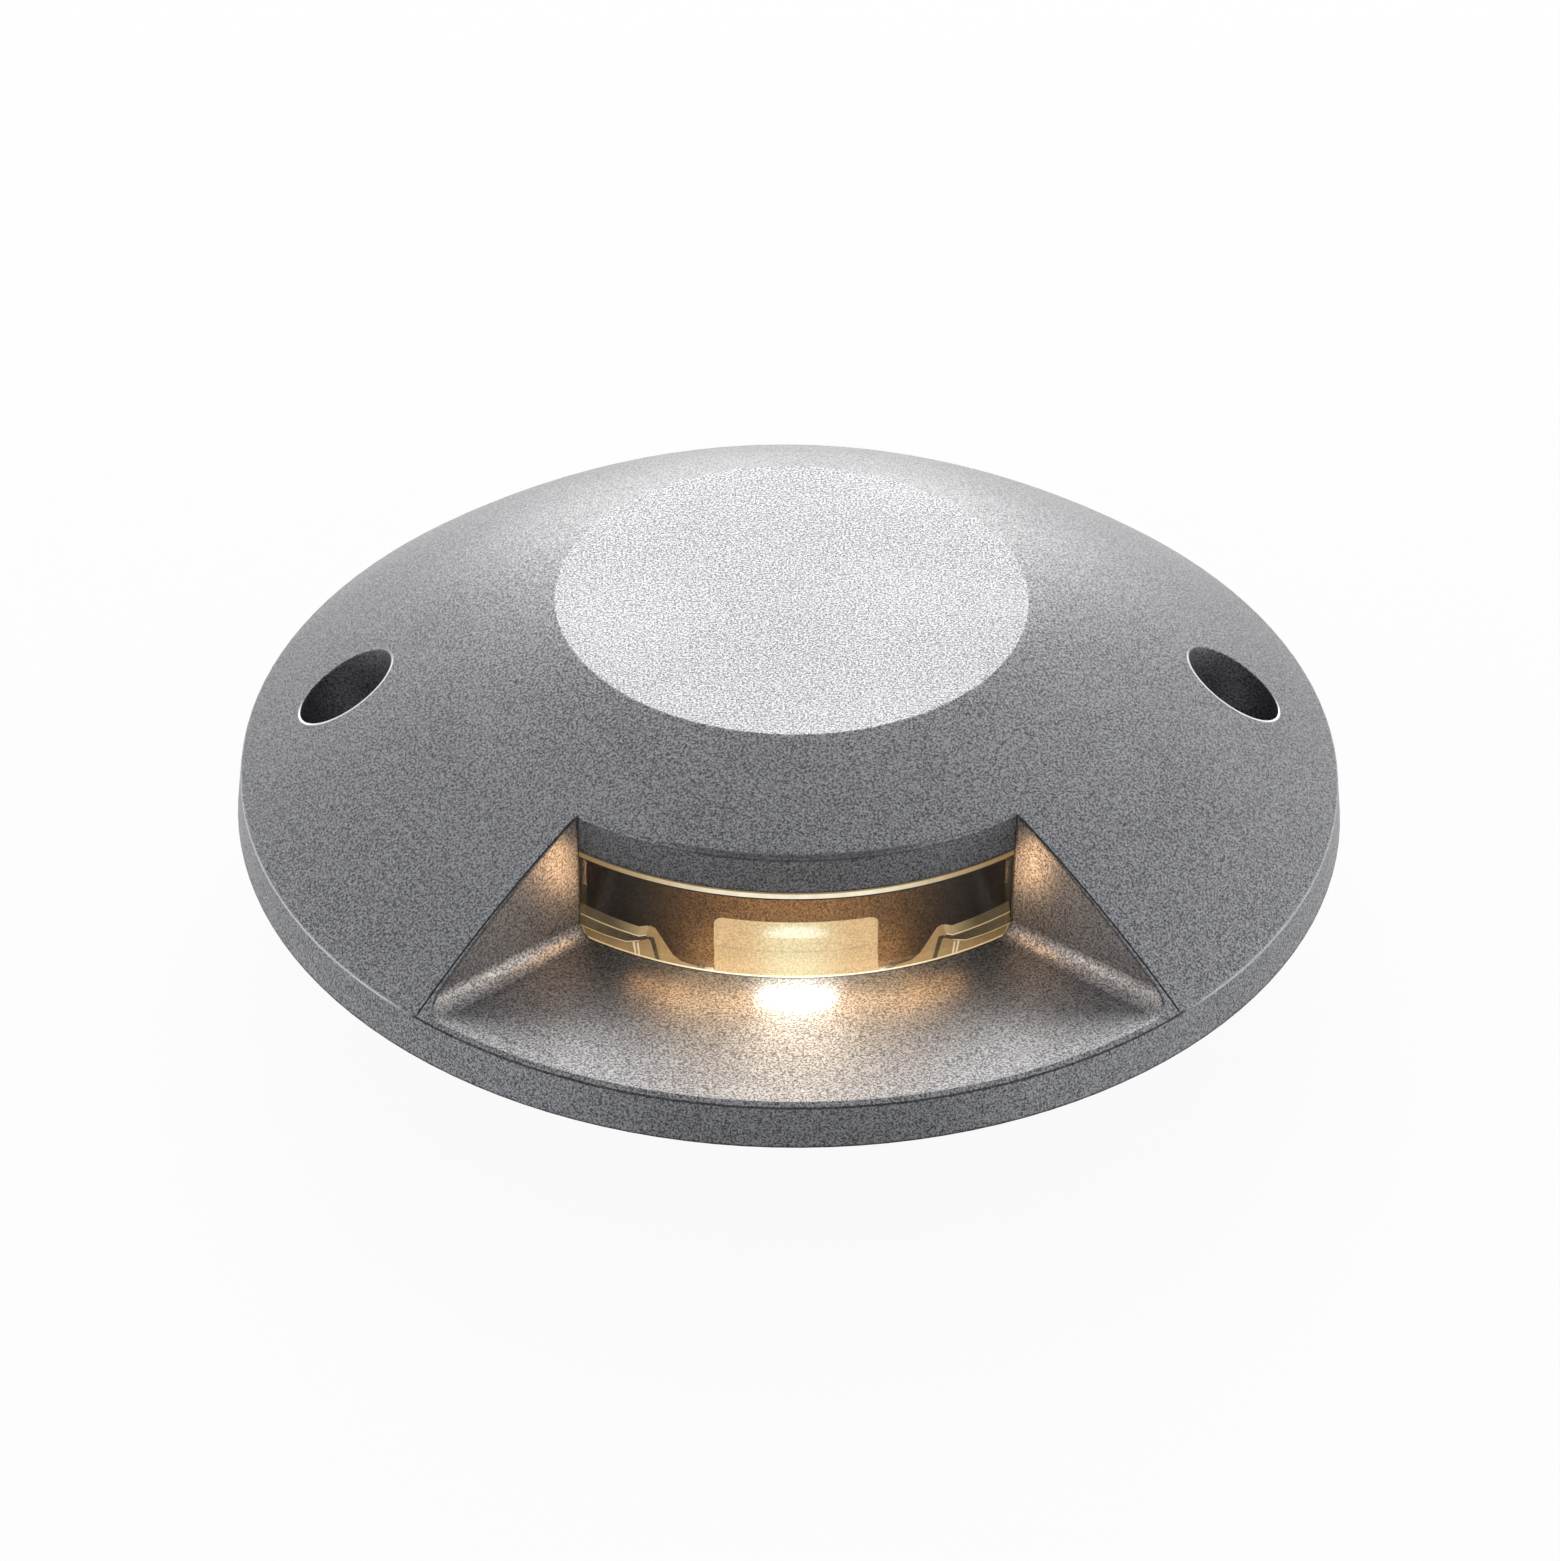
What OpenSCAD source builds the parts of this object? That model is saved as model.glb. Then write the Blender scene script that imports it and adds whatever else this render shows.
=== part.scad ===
// In-ground marker light with a domed drive-over cover.
// Origin: centre of the rim's underside, level with the paving. +Z is up and the window faces -Y.

/* [Cover] */
// Height of the upright wall of the rim
rim_h = 7.25; // [6.75:0.25:8]
// How far the rim wall leans in from bottom to top
rim_lean = 0.93; // [0.5:0.01:1.5]
// Width of the solid rim ring underneath
rim_w = 9; // [8:0.5:10]
// Rise of the dome's ceiling above the lens's flange, which sets the light's whole height
crown_rise = 8.85; // [8.5:0.05:10]
// Distance of the flat top's edge inside the chamber's wall
top_inset = 16.25; // [15:0.25:18]
// Bulge of the dome beyond a straight cone
dome_bulge = 2.6; // [2.2:0.1:3]
// Thickness of the cast dome
cast_t = 4; // [3.6:0.1:4.4]
// Clearance between the housing and the chamber under the dome
housing_gap = 2.2; // [2:0.1:2.5]
// Wall round the chamber
core_wall = 6.5; // [6:0.25:7]

/* [Window] */
// Distance from the throat, where the lens looks out, to the rim
window_run = 34.7; // [33:0.1:37]
// Depth of the lintel over the lens
lintel_w = 4.3; // [4.1:0.1:4.6]
// Half of the angle that the throat spans
throat_half = 35.7; // [33:0.1:37]
// Angle of the side walls to the light's axis
splay = 47; // [44:1:50]
// Height of the window floor at the lens
floor_z = 5.5; // [5.2:0.1:5.8]
// Tilt of the window floor, rising to the rim
floor_tilt = 4.18; // [3.6:0.02:4.6]
// Thickness of the window floor
floor_t = 2.4; // [2:0.1:2.6]
// Radius of the fillets between floor and side walls
fillet_r = 3.5; // [2.5:0.1:4.5]
// Height of the underside of the lintel
lintel_z = 23.05; // [22:0.05:23.4]
// Rounding of the lintel's upper edge
lintel_round = 1; // [0.6:0.1:1.6]

/* [Screw wells] */
// Distance of a well's axis from the rim
well_inset = 19.3; // [18.5:0.1:20]
// Diameter of a well
well_d = 16; // [14:0.5:17]
// Height of the screw seat at the bottom of a well
well_seat = 6; // [5:0.5:8]
// Wall of metal round a well
well_wall = 3.5; // [3:0.1:3.8]
// Diameter of the anchor hole
anchor_d = 8.5; // [6.5:0.5:9]

/* [Ribs under the cover] */
// Number of radial ribs
rib_count = 12; // [12:4:16]
// Thickness of a rib
rib_t = 2.6; // [2.2:0.1:3]
// Height of the ribs' lower edge above the paving
rib_lift = 1; // [0.6:0.1:1.4]

/* [Lens] */
// Clearance between the lens and the throat
lens_inset = 0.3; // [0.2:0.05:0.4]
// Thickness of the lens
lens_t = 2; // [1.8:0.1:2.2]
// Height of the lip along the top of the lens
lip_h = 1.5; // [1.2:0.1:1.8]
// How far the lip stands out of the lens
lip_out = 0.25; // [0.15:0.05:0.3]
// Thickness of the flange behind the lintel
lens_flange_t = 2.4; // [2.2:0.1:2.6]
// Width of the flange beyond the window
lens_flange_w = 3.3; // [2.8:0.1:3.6]
// Thickness of the gasket in front of the flange
lens_gasket_t = 0.6; // [0.5:0.05:0.8]
// Thickness of the strip under the lens
sill_gasket_t = 0.6; // [0.5:0.05:0.8]
// Height of the bottom of the lens groove
groove_z = 4.2; // [4.1:0.05:4.4]
// Thickness of the side webs of the lens
lens_web_t = 1; // [0.8:0.1:1.2]
// Height of the two keepers behind the lens
keeper_h = 2.7; // [2.2:0.1:3.2]
// Length of a keeper's foot from the window's side
keeper_l = 16.7; // [15:0.5:18]
// Length of a keeper's flat top from the window's side
keeper_top_l = 12.4; // [11.5:0.2:13]
// Length of the sill's raised ends
sill_end_l = 11.9; // [11.2:0.1:12.6]
// Depth of the step in a keeper's front
keeper_step = 0.8; // [0.6:0.1:1]

/* [Light chamber] */
// Thickness of the chamber's metal sheet
sheet_t = 1.5; // [1.2:0.1:1.7]
// Thickness of the shelf at the foot of the chamber
shelf_t = 0.8; // [0.6:0.1:0.9]
// Width of the shelf
shelf_w = 5.8; // [5.4:0.1:6]
// Half width of the light opening in the chamber
port_half = 13.2; // [12:0.1:13.6]
// Height of the top of the light opening
port_z = 11.8; // [10:0.1:12]
// Corner radius of the light opening
port_round = 1.5; // [1:0.1:2.5]
// Distance of the ear screws from the chamber's sheet
ear_reach = 5.4; // [5:0.1:5.8]
// Radius of an ear
ear_r = 6; // [5.6:0.1:6.4]

/* [Light engine] */
// Height of the emitters' lower faces above the light opening
emitter_gap = 0.4; // [0.3:0.05:0.6]
// Width of a square emitter
emitter_w = 3.5; // [3:0.1:4]
// Height of an emitter
emitter_h = 1; // [0.8:0.05:1.1]
// Number of emitters
emitter_count = 3; // [2:1:3]
// Distance between emitters
emitter_pitch = 8; // [6:0.5:8]
// Width of the emitter board
led_w = 42; // [40:0.5:42]
// Depth of the emitter board
led_depth = 12; // [11:0.2:12.4]
// Thickness of the emitter board
led_t = 1.6; // [1.4:0.1:1.8]
// Thickness of the pad between emitter board and heat sink
led_pad_t = 0.5; // [0.4:0.05:0.7]
// Distance between the emitter board's screws
led_screw_pitch = 36; // [35:0.5:37]
// Radius of the reflector's curve
reflector_r = 16; // [15:0.5:17]
// Thickness of the reflector's sheet
reflector_t = 0.8; // [0.6:0.1:0.9]

/* [Heat sink] */
// Width of the extruded heat sink
sink_w = 44; // [43:0.5:44]
// Clearance between the heat sink and what surrounds it
sink_gap = 0.3; // [0.2:0.05:0.5]
// Distance of the web from the heat sink's front
web_setback = 9.3; // [9:0.1:9.8]
// Thickness of the web
web_t = 4.5; // [4:0.1:5]
// Thickness of the lower flange
sink_flange_t = 3.5; // [3:0.1:4]
// Thickness of the foot under the dome
foot_t = 3.6; // [3.2:0.1:4]
// How far the foot reaches behind the light's centre
foot_back = 6; // [4:0.5:8]
// Number of fins on the web
fin_count = 3; // [2:1:3]
// Thickness of a fin
fin_t = 1.2; // [1:0.1:1.4]
// Gap between fins
fin_gap = 1.6; // [1.4:0.1:1.8]
// Length of a fin
fin_l = 17; // [14:0.5:18]
// Thickness of the cast pad that the foot meets
cast_pad_t = 2; // [1.8:0.1:2.4]
// Width of the cast pad
cast_pad_w = 40; // [38:1:42]
// Thickness of the heat pad above the foot
heat_pad_t = 0.8; // [0.6:0.1:1]

/* [Ground housing] */
// Wall of the housing
housing_wall = 3; // [2.8:0.1:3.2]
// Floor of the housing
housing_floor = 3; // [2.6:0.1:3.4]
// Thickness of the housing's flange
flange_t = 3; // [2.9:0.05:3.05]
// Lip of the housing's flange beyond its seal groove
flange_lip = 3.4; // [3:0.1:3.6]
// Distance of the housing screws from the flange's edge
flange_screw_l = 1.5; // [1.3:0.1:2]
// Radius of the flange's screw ears
flange_ear_r = 6; // [5.6:0.1:6.2]
// Diameter of a housing screw
housing_screw_d = 4; // [3.5:0.5:4]
// Length of a housing screw
housing_screw_l = 12; // [10:1:13]
// Radius of the cast boss over a housing screw
housing_boss_r = 5; // [4.6:0.1:5.4]
// Distance of the seal groove from the chamber's wall
seal_groove_inset = 1.4; // [1:0.1:1.8]
// Width of the seal groove
seal_groove_w = 2.2; // [2:0.1:2.4]
// Depth of the seal groove
seal_groove_depth = 1.6; // [1.4:0.1:1.8]
// Width of the rim seal
rim_seal_w = 3; // [2.5:0.1:3.5]
// Height of the rim seal
rim_seal_h = 1.5; // [1.2:0.1:1.8]

/* [Driver] */
// Clearance between the driver board's corners and the housing, which sets the light's whole width
board_gap = 6.8; // [6:0.1:8]
// Length of the driver board
board_l = 72; // [70:1:76]
// Depth of the driver board
board_w = 56; // [54:1:58]
// Thickness of the driver board
board_t = 1.6; // [1.4:0.1:1.8]
// Corner radius of the driver board
board_round = 4; // [3:0.5:5]
// Height of the posts under the driver board
post_h = 8; // [7:0.5:9]
// Radius of a post
post_r = 3.5; // [3.2:0.1:3.8]
// Distance of the posts from the board's edges
post_inset = 5; // [4.5:0.1:5.5]
// Thickness of the insulating sheet
insulator_t = 0.5; // [0.4:0.05:0.8]
// Diameter of the storage capacitor
cap_d = 12.5; // [10:0.5:13]
// Height of the storage capacitor
cap_h = 20; // [16:0.5:21]
// Length of the transformer core
core_l = 22; // [20:0.5:23]
// Width of the transformer core
core_w = 16; // [14:0.5:17]
// Height of the transformer core
core_h = 15; // [13:0.5:16]
// Bar thickness of the transformer core
core_bar = 4.5; // [4:0.1:5]
// Middle radius of the choke
choke_r = 5.5; // [5:0.1:6]
// Radius of the choke's winding
choke_wire_r = 2.8; // [2.5:0.1:3]
// Length of a driver chip
chip_l = 9; // [8:0.5:10]
// Width of a driver chip
chip_w = 7; // [6:0.5:8]
// Height of a driver chip
chip_h = 2.4; // [2:0.1:2.8]
// Distance between the two driver chips
chip_pitch = 13; // [12:0.5:14]
// Gap between the choke and the chips beside it
choke_gap = 3; // [2:0.5:4]
// Number of ways of the terminal block
terminal_ways = 3; // [2:1:3]
// Width of one way of the terminal block
terminal_pitch = 6; // [5:0.5:6.5]
// Depth of the terminal block
terminal_depth = 11; // [10:0.5:12]
// Height of the terminal block
terminal_h = 12; // [11:0.5:13]
// Height of the earth post
earth_h = 6; // [5:0.5:7]
// Thickness of the earth lug
earth_lug_t = 0.8; // [0.6:0.1:1]
// Length of the earth lug's tongue
earth_lug_l = 9; // [8:0.5:10]
// Diameter of a lead to the emitter board
lead_d = 1.5; // [1.2:0.1:1.6]
// Distance between the two leads
lead_pitch = 10; // [8:0.5:12]
// Bend radius of a lead
lead_bend = 5; // [4:0.5:6]

/* [Cable gland and vent] */
// Diameter of the gland's thread
gland_d = 12; // [11.5:0.5:12.5]
// Width across the flats of the gland's hexagons
gland_flats = 15; // [14.5:0.5:16]
// Diameter of the cable that the gland takes
cable_d = 6.4; // [5.5:0.1:6.6]
// Depth of the gland's axis below the paving
gland_z = 13; // [12.5:0.1:13.5]
// Radius of the cast boss round the gland
gland_boss_r = 10; // [9.6:0.1:10.4]
// Length of the gland boss outside the housing
gland_boss_l = 3.2; // [2.8:0.1:4]
// Length of the gland's hexagon
gland_hex_l = 4.5; // [4:0.1:5]
// Length of the gland's outer thread
gland_collar_l = 6; // [5.5:0.1:6.5]
// Length of the gland's cap
gland_cap_l = 11; // [10:0.2:12]
// Thickness of the gland's locknut
locknut_t = 3; // [2.6:0.1:3.4]
// Clearance under the locknut, which sets the housing's depth
locknut_gap = 2.5; // [2.5:0.1:4]
// Wall of the gland's inner thread
gland_wall = 2; // [1.8:0.1:2.2]
// Wall round the gland's seal
seal_wall = 1.3; // [1.1:0.1:1.5]
// Length of the vent's boss outside the housing
vent_boss_l = 3.85; // [3.4:0.05:4.8]
// Length of the vent's thread
vent_l = 9; // [8:0.5:9.5]
// Distance of the vent from the gland
vent_x = 24; // [23:0.5:25]
// Diameter of the vent's thread
vent_d = 8; // [7:0.5:8]
// Radius of the vent's head
vent_head_r = 6; // [5.6:0.1:6.4]
// Height of the vent's head
vent_head_h = 3; // [2.6:0.1:3.4]
// Thickness of the vent's seal
vent_seal_t = 1; // [0.8:0.1:1.2]

/* [Small screws] */
// Diameter of the inner screws
screw_d = 3; // [2.5:0.5:3]
// Diameter of the inner screws' heads
head_d = 5.5; // [5:0.1:5.6]
// Height of the inner screws' heads
head_h = 2; // [1.6:0.1:2.2]

/* [Hidden] */
$fn = 72;
// Clearance between pieces that fit into each other
fit = 0.1;
// Clearance round a screw's thread
thread_fit = 0.05;
// How far a cut runs past the metal it removes
overrun = 1;
// How far a fillet bites into its neighbours, so that it meets them cleanly
bite = 0.04;

// From the driver outwards: housing, chamber, throat and rim
housing_in = norm([board_l / 2 - board_round, board_w / 2 - board_round]) + board_round + board_gap;
housing_r = housing_in + housing_wall;
chamber_r = housing_r + housing_gap;
core_r = chamber_r + core_wall;
throat_r = chamber_r + lintel_w;
rim_r = throat_r + window_run;
brow_r = rim_r - rim_lean;
top_r = chamber_r - top_inset;
lean_share = rim_lean / rim_h;
// From the lens upwards: flange, ceiling and flat top
lens_flange_z = lintel_z + lens_flange_w;
ceiling_z = lens_flange_z + crown_rise;
dome_h = ceiling_z + cast_t;
// The dome is one arc from the flat top's edge to the rim wall
chord_run = brow_r - top_r;
chord_fall = dome_h - rim_h;
chord = norm([chord_run, chord_fall]);
arc_r = (chord * chord / 4 + dome_bulge * dome_bulge) / (2 * dome_bulge);
arc_centre = [brow_r + top_r, dome_h + rim_h] / 2 - [chord_fall, chord_run] / chord * (arc_r - dome_bulge);
rim_ring_r = rim_r - rim_w;

// The window's throat corner, and the half width of its opening
throat = throat_r * [sin(throat_half), -cos(throat_half)];
window_half = throat[0];
window_l = rim_r;
window_floor_r = rim_r + overrun;

lens_r = throat_r - lens_inset;
groove_in = lens_r - lens_t - fit;
lens_half = window_half - fit;
lens_bottom = groove_z + sill_gasket_t;
lens_top = lintel_z - fit;
lip_z = lens_top - lip_h;
flange_out = chamber_r - lens_gasket_t;
flange_in = flange_out - lens_flange_t;
lens_flange_half = window_half + lens_flange_w;
keeper_toe = window_half - keeper_l;
keeper_top = window_half - keeper_top_l;
sill_dip_half = window_half - sill_end_l;

sheet_out = flange_in - fit;
sheet_in = sheet_out - sheet_t;
shelf_z = flange_t + fit;
shelf_top = shelf_z + shelf_t;
shelf_r = chamber_r - shelf_w;
ear_x = sink_w / 2 + sink_gap + ear_r;
ear_place = [ear_x, -sqrt((sheet_in - ear_reach) * (sheet_in - ear_reach) - ear_x * ear_x)];
ear_z = lens_flange_z - sheet_t;

sink_front = sqrt((sheet_in - sink_gap) * (sheet_in - sink_gap) - sink_w * sink_w / 4);
web_front = sink_front - web_setback;
emitter_z = port_z + emitter_gap;
led_z = emitter_z + emitter_h;
led_pad_z = led_z + led_t;
sink_z = led_pad_z + led_pad_t;
cast_pad_z = ceiling_z - cast_pad_t;
heat_pad_z = cast_pad_z - heat_pad_t;
led_front = sink_front;
led_back = led_front - led_depth;
led_middle = led_front - led_depth / 2;
reflector_front = sqrt(shelf_r * shelf_r - (port_half + reflector_t) * (port_half + reflector_t)) - fit;
reflector_top = led_z - fit;
foot_screws = [for (x = [-1, 1], y = [0, 1]) [x * cast_pad_w / 3, foot_back / 3 - y * web_front * 2 / 3]];

// From the gland downwards: locknut and housing floor
housing_floor_z = -gland_z - gland_flats / 2 - locknut_gap;
housing_depth = housing_floor - housing_floor_z;
board_z = housing_floor_z + post_h;
board_top = board_z + board_t;
post_x = board_l / 2 - post_inset;
post_y = board_w / 2 - post_inset;
post_places = [for (x = [-post_x, post_x], y = [-post_y, post_y]) [x, y]];
seal_groove_r = chamber_r + seal_groove_inset;
flange_r = seal_groove_r + seal_groove_w + flange_lip;
housing_screw_r = flange_r + flange_screw_l;
housing_screw_places = [for (a = [45:90:315]) housing_screw_r * [cos(a), sin(a)]];
rim_seal_r = rim_ring_r + (rim_w - rim_seal_w) / 2;

cap_place = [board_l / 4, board_w / 10];
small_cap_place = [board_l / 2.6, -board_w / 5];
small_cap_share = 0.6;
core_place = [-board_l / 4, board_w / 12];
choke_place = [board_l / 5, -board_w / 3];
chip_place = [choke_place[0] - choke_r - choke_wire_r - choke_gap - chip_l / 2 - chip_pitch, choke_place[1]];
terminal_y = board_w / 2 - terminal_depth / 2 - overrun;
lead_y = board_w / 6;
lead_z = led_z + led_t / 2;
// Sides of a lead, and steps of its bend
lead_sides = 12;
lead_steps = 6;
earth_place = [-board_l / 5, -board_w / 2 - 2 * post_r - fit];

gland_r = gland_d / 2;
gland_face = housing_r + gland_boss_l;
vent_face = sqrt(housing_r * housing_r - vent_x * vent_x) + vent_boss_l;
gland_back = gland_face - 2 * gland_r;
gland_bore_r = gland_r - gland_wall;

// Height of the dome, or of its inside, at radius r
function dome_z(r, inset = 0) =
    arc_centre[1] + sqrt((arc_r - inset) * (arc_r - inset) - (r - arc_centre[0]) * (r - arc_centre[0]));

// Height of the window floor at radius r
function floor_height(r) = floor_z + (r - throat_r) * tan(floor_tilt);

// Half section of the dome, drawn inset by a wall's thickness
module dome_section(inset, base) {
    intersection() {
        translate(arc_centre) circle(r = arc_r - inset, $fn = 240);
        polygon([
            [0, base],
            [rim_r - inset - lean_share * base, base],
            [rim_r - inset - lean_share * dome_h, dome_h - inset],
            [0, dome_h - inset]
        ]);
    }
}

module ring(outer, inner, low, high) {
    translate([0, 0, low]) difference() {
        cylinder(r = outer, h = high - low);
        translate([0, 0, -overrun]) cylinder(r = inner, h = high - low + 2 * overrun);
    }
}

// Box that is symmetric in X, on the window's side of the light
module front_box(half, near, far, low, high) {
    translate([-half, -far, low]) cube([2 * half, far - near, high - low]);
}

// Piece of a ring that faces the window
module front_ring(outer, inner, half, low, high) {
    intersection() {
        ring(outer, inner, low, high);
        front_box(half, 0, outer + overrun, low - overrun, high + overrun);
    }
}

module both_sides() {
    children();
    mirror([1, 0, 0]) children();
}

// Pan-head screw that points up, with its head's underside at the origin
module screw_up(d, l, head, height) {
    difference() {
        union() {
            translate([0, 0, -height]) cylinder(r = head / 2, h = height);
            cylinder(r = d / 2, h = l);
        }
        translate([0, 0, -height - overrun]) cylinder(r = d * 0.45, h = height * 0.6 + overrun, $fn = 6);
    }
}

// Plan of the window's splayed cut, grown by a wall's thickness
module window_plan(grow) {
    along = [sin(splay), -cos(splay)];
    across = [cos(splay), sin(splay)];
    inner = throat - along * fillet_r * 3 + across * grow;
    outer = throat + along * window_l + across * grow;
    polygon([inner, outer, [-outer[0], outer[1]], [-inner[0], inner[1]]]);
}

// Everything below the window floor, or below its underside
module below_floor(drop) {
    rotate_extrude() polygon([
        [0, -overrun],
        [window_floor_r, -overrun],
        [window_floor_r, floor_height(window_floor_r) - drop],
        [0, floor_height(0) - drop]
    ]);
}

// Fillet along the foot of a side wall, drawn for the right-hand wall
module window_fillet() {
    reach = window_l + fillet_r;
    translate([throat[0], throat[1], floor_z]) rotate([0, -floor_tilt, splay - 90]) difference() {
        translate([-fillet_r, -fillet_r, -overrun]) cube([reach, fillet_r + overrun, fillet_r + overrun]);
        translate([-fillet_r - overrun, bite - fillet_r, fillet_r - bite]) rotate([0, 90, 0])
            cylinder(r = fillet_r, h = reach + 2 * overrun);
    }
}

module window_cut() {
    difference() {
        linear_extrude(height = dome_h + overrun) window_plan(0);
        translate([0, 0, -overrun]) cylinder(r = throat_r, h = dome_h + 3 * overrun, $fn = 180);
        below_floor(0);
        both_sides() window_fillet();
    }
}

// Rounds the edge where the dome turns down into the lintel
module lintel_rounding() {
    centre = [throat_r - lintel_round, dome_z(throat_r - lintel_round, lintel_round)];
    up = (centre - arc_centre) / norm(centre - arc_centre);
    reach = 3 * lintel_round;
    rotate([0, 0, -90 - throat_half]) rotate_extrude(angle = 2 * throat_half, $fn = 180) difference() {
        polygon([centre, centre + reach * up, centre + reach * [1, 1], centre + reach * [1, 0]]);
        translate(centre) circle(r = lintel_round + bite);
    }
}

// Opening for the lens, with its groove in the sill and the dip between the sill's ends
module lens_opening() {
    near = chamber_r * cos(throat_half) - fillet_r;
    intersection() {
        translate([0, 0, -overrun]) cylinder(r = throat_r + bite, h = dome_h, $fn = 180);
        front_box(window_half, near, rim_r, floor_z, lintel_z);
    }
    front_ring(lens_r + fit, groove_in, window_half, groove_z, lintel_z);
    intersection() {
        translate([0, 0, -overrun]) cylinder(r = groove_in + bite, h = dome_h);
        front_box(sill_dip_half, near, rim_r, shelf_top, lintel_z);
    }
}

module well_places() {
    for (side = [-1, 1]) translate([side * (rim_r - well_inset), 0, 0]) children();
}

// What stays solid between the rim and the chamber: ribs, bosses and the window's walls
module cover_structure() {
    ring((core_r + rim_ring_r + rib_t) / 2, (core_r + rim_ring_r - rib_t) / 2, rib_lift, dome_h);
    for (i = [0:rib_count - 1]) rotate([0, 0, (i + 0.5) * 360 / rib_count])
        translate([0, -rib_t / 2, rib_lift]) cube([rim_r, rib_t, dome_h]);
    well_places() cylinder(r = well_d / 2 + well_wall, h = dome_h);
    for (p = housing_screw_places) translate([p[0], p[1], 0]) cylinder(r = housing_boss_r, h = dome_h);
    difference() {
        linear_extrude(height = dome_h) window_plan(cast_t);
        below_floor(floor_t);
    }
}

module cover_pockets() {
    difference() {
        rotate_extrude() intersection() {
            dome_section(cast_t, -overrun);
            translate([core_r, -overrun]) square([rim_ring_r - core_r, dome_h]);
        }
        cover_structure();
    }
}

module chamber_space() {
    difference() {
        rotate_extrude() intersection() {
            dome_section(cast_t, -overrun);
            translate([0, -overrun]) square([chamber_r, dome_h]);
        }
        both_sides() translate([ear_place[0], ear_place[1], lens_flange_z])
            cylinder(r = screw_d * 1.5, h = dome_h);
        translate([-cast_pad_w / 2, -web_front, cast_pad_z])
            cube([cast_pad_w, web_front + foot_back, dome_h]);
    }
}

module flange_plan(grow) {
    circle(r = flange_r + grow, $fn = 180);
    for (p = housing_screw_places) translate(p) circle(r = flange_ear_r + grow);
}

module cover() color([0.60, 0.61, 0.63]) {
    difference() {
        rotate_extrude($fn = 240) dome_section(0, 0);
        cover_pockets();
        chamber_space();
        window_cut();
        lintel_rounding();
        lens_opening();
        translate([0, 0, -overrun]) linear_extrude(height = flange_t + overrun) flange_plan(fit);
        well_places() {
            translate([0, 0, well_seat]) cylinder(r = well_d / 2, h = dome_h);
            translate([0, 0, -overrun]) cylinder(r = anchor_d / 2, h = dome_h);
        }
        for (p = housing_screw_places) translate([p[0], p[1], 0])
            cylinder(r = housing_screw_d / 2 + thread_fit, h = housing_screw_l + overrun);
        both_sides() translate([ear_place[0], ear_place[1], 0])
            cylinder(r = screw_d / 2 + thread_fit, h = lens_flange_z + 2 * screw_d);
        for (p = foot_screws) translate([p[0], p[1], 0])
            cylinder(r = screw_d / 2 + thread_fit, h = ceiling_z + cast_t / 2);
        ring(rim_seal_r + rim_seal_w, rim_seal_r, -overrun, rim_seal_h);
    }
}

module rim_seal() color([0.12, 0.12, 0.12])
    ring(rim_seal_r + rim_seal_w - thread_fit, rim_seal_r + thread_fit, 0, rim_seal_h);

module lens() color([0.9, 0.92, 0.92, 0.4]) {
    pocket_half = lens_half - lens_web_t;
    front_ring(lens_r, lens_r - lens_t, lens_half, lens_bottom, lens_top);
    front_ring(lens_r - lens_t / 2, flange_in, lens_half, lip_z, lens_top);
    // Half-round lip along the top edge
    intersection() {
        rotate_extrude($fn = 180) translate([lens_r + lip_out - lip_h / 2, lip_z + lip_h / 2])
            circle(r = lip_h / 2 - bite);
        front_box(lens_half, 0, rim_r, lip_z, lens_top);
    }
    // Side webs and the flange behind the lintel
    difference() {
        union() {
            front_ring(lens_r - lens_t / 2, flange_in, lens_half, floor_z + fit, lens_top);
            front_ring(flange_out, flange_in, lens_flange_half, shelf_top + fit, lens_flange_z);
        }
        front_box(pocket_half, 0, rim_r, 0, lip_z);
    }
}

module lens_gasket() color([0.85, 0.85, 0.85]) {
    difference() {
        front_ring(chamber_r - thread_fit, flange_out + thread_fit, lens_flange_half,
            shelf_top + fit, lens_flange_z);
        front_box(window_half + fit, 0, rim_r, 0, lintel_z + fit);
    }
}

module sill_gasket() color([0.85, 0.85, 0.85])
    front_ring(lens_r, lens_r - lens_t, lens_half, groove_z, lens_bottom);

// Two stepped blocks that hold the lower corners of the lens
module lens_keepers() color([0.80, 0.74, 0.60]) {
    low = shelf_top;
    high = low + keeper_h;
    outer = chamber_r - fit;
    both_sides() difference() {
        intersection() {
            ring(outer, flange_in, low, high);
            rotate([90, 0, 0]) linear_extrude(height = rim_r) polygon([
                [keeper_toe, low - overrun],
                [keeper_toe, low],
                [keeper_top - keeper_h / 2, low + keeper_h * 0.55],
                [keeper_top, high],
                [pocket_edge(), high],
                [pocket_edge(), low - overrun]
            ]);
        }
        // Step that leaves a dark line below the block's top
        front_ring(outer + overrun, outer - keeper_step, rim_r, high - keeper_h / 3, high - keeper_h / 9);
    }
}

// The keepers stop short of the lens's side webs
function pocket_edge() = lens_half - lens_web_t - fit;

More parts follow.
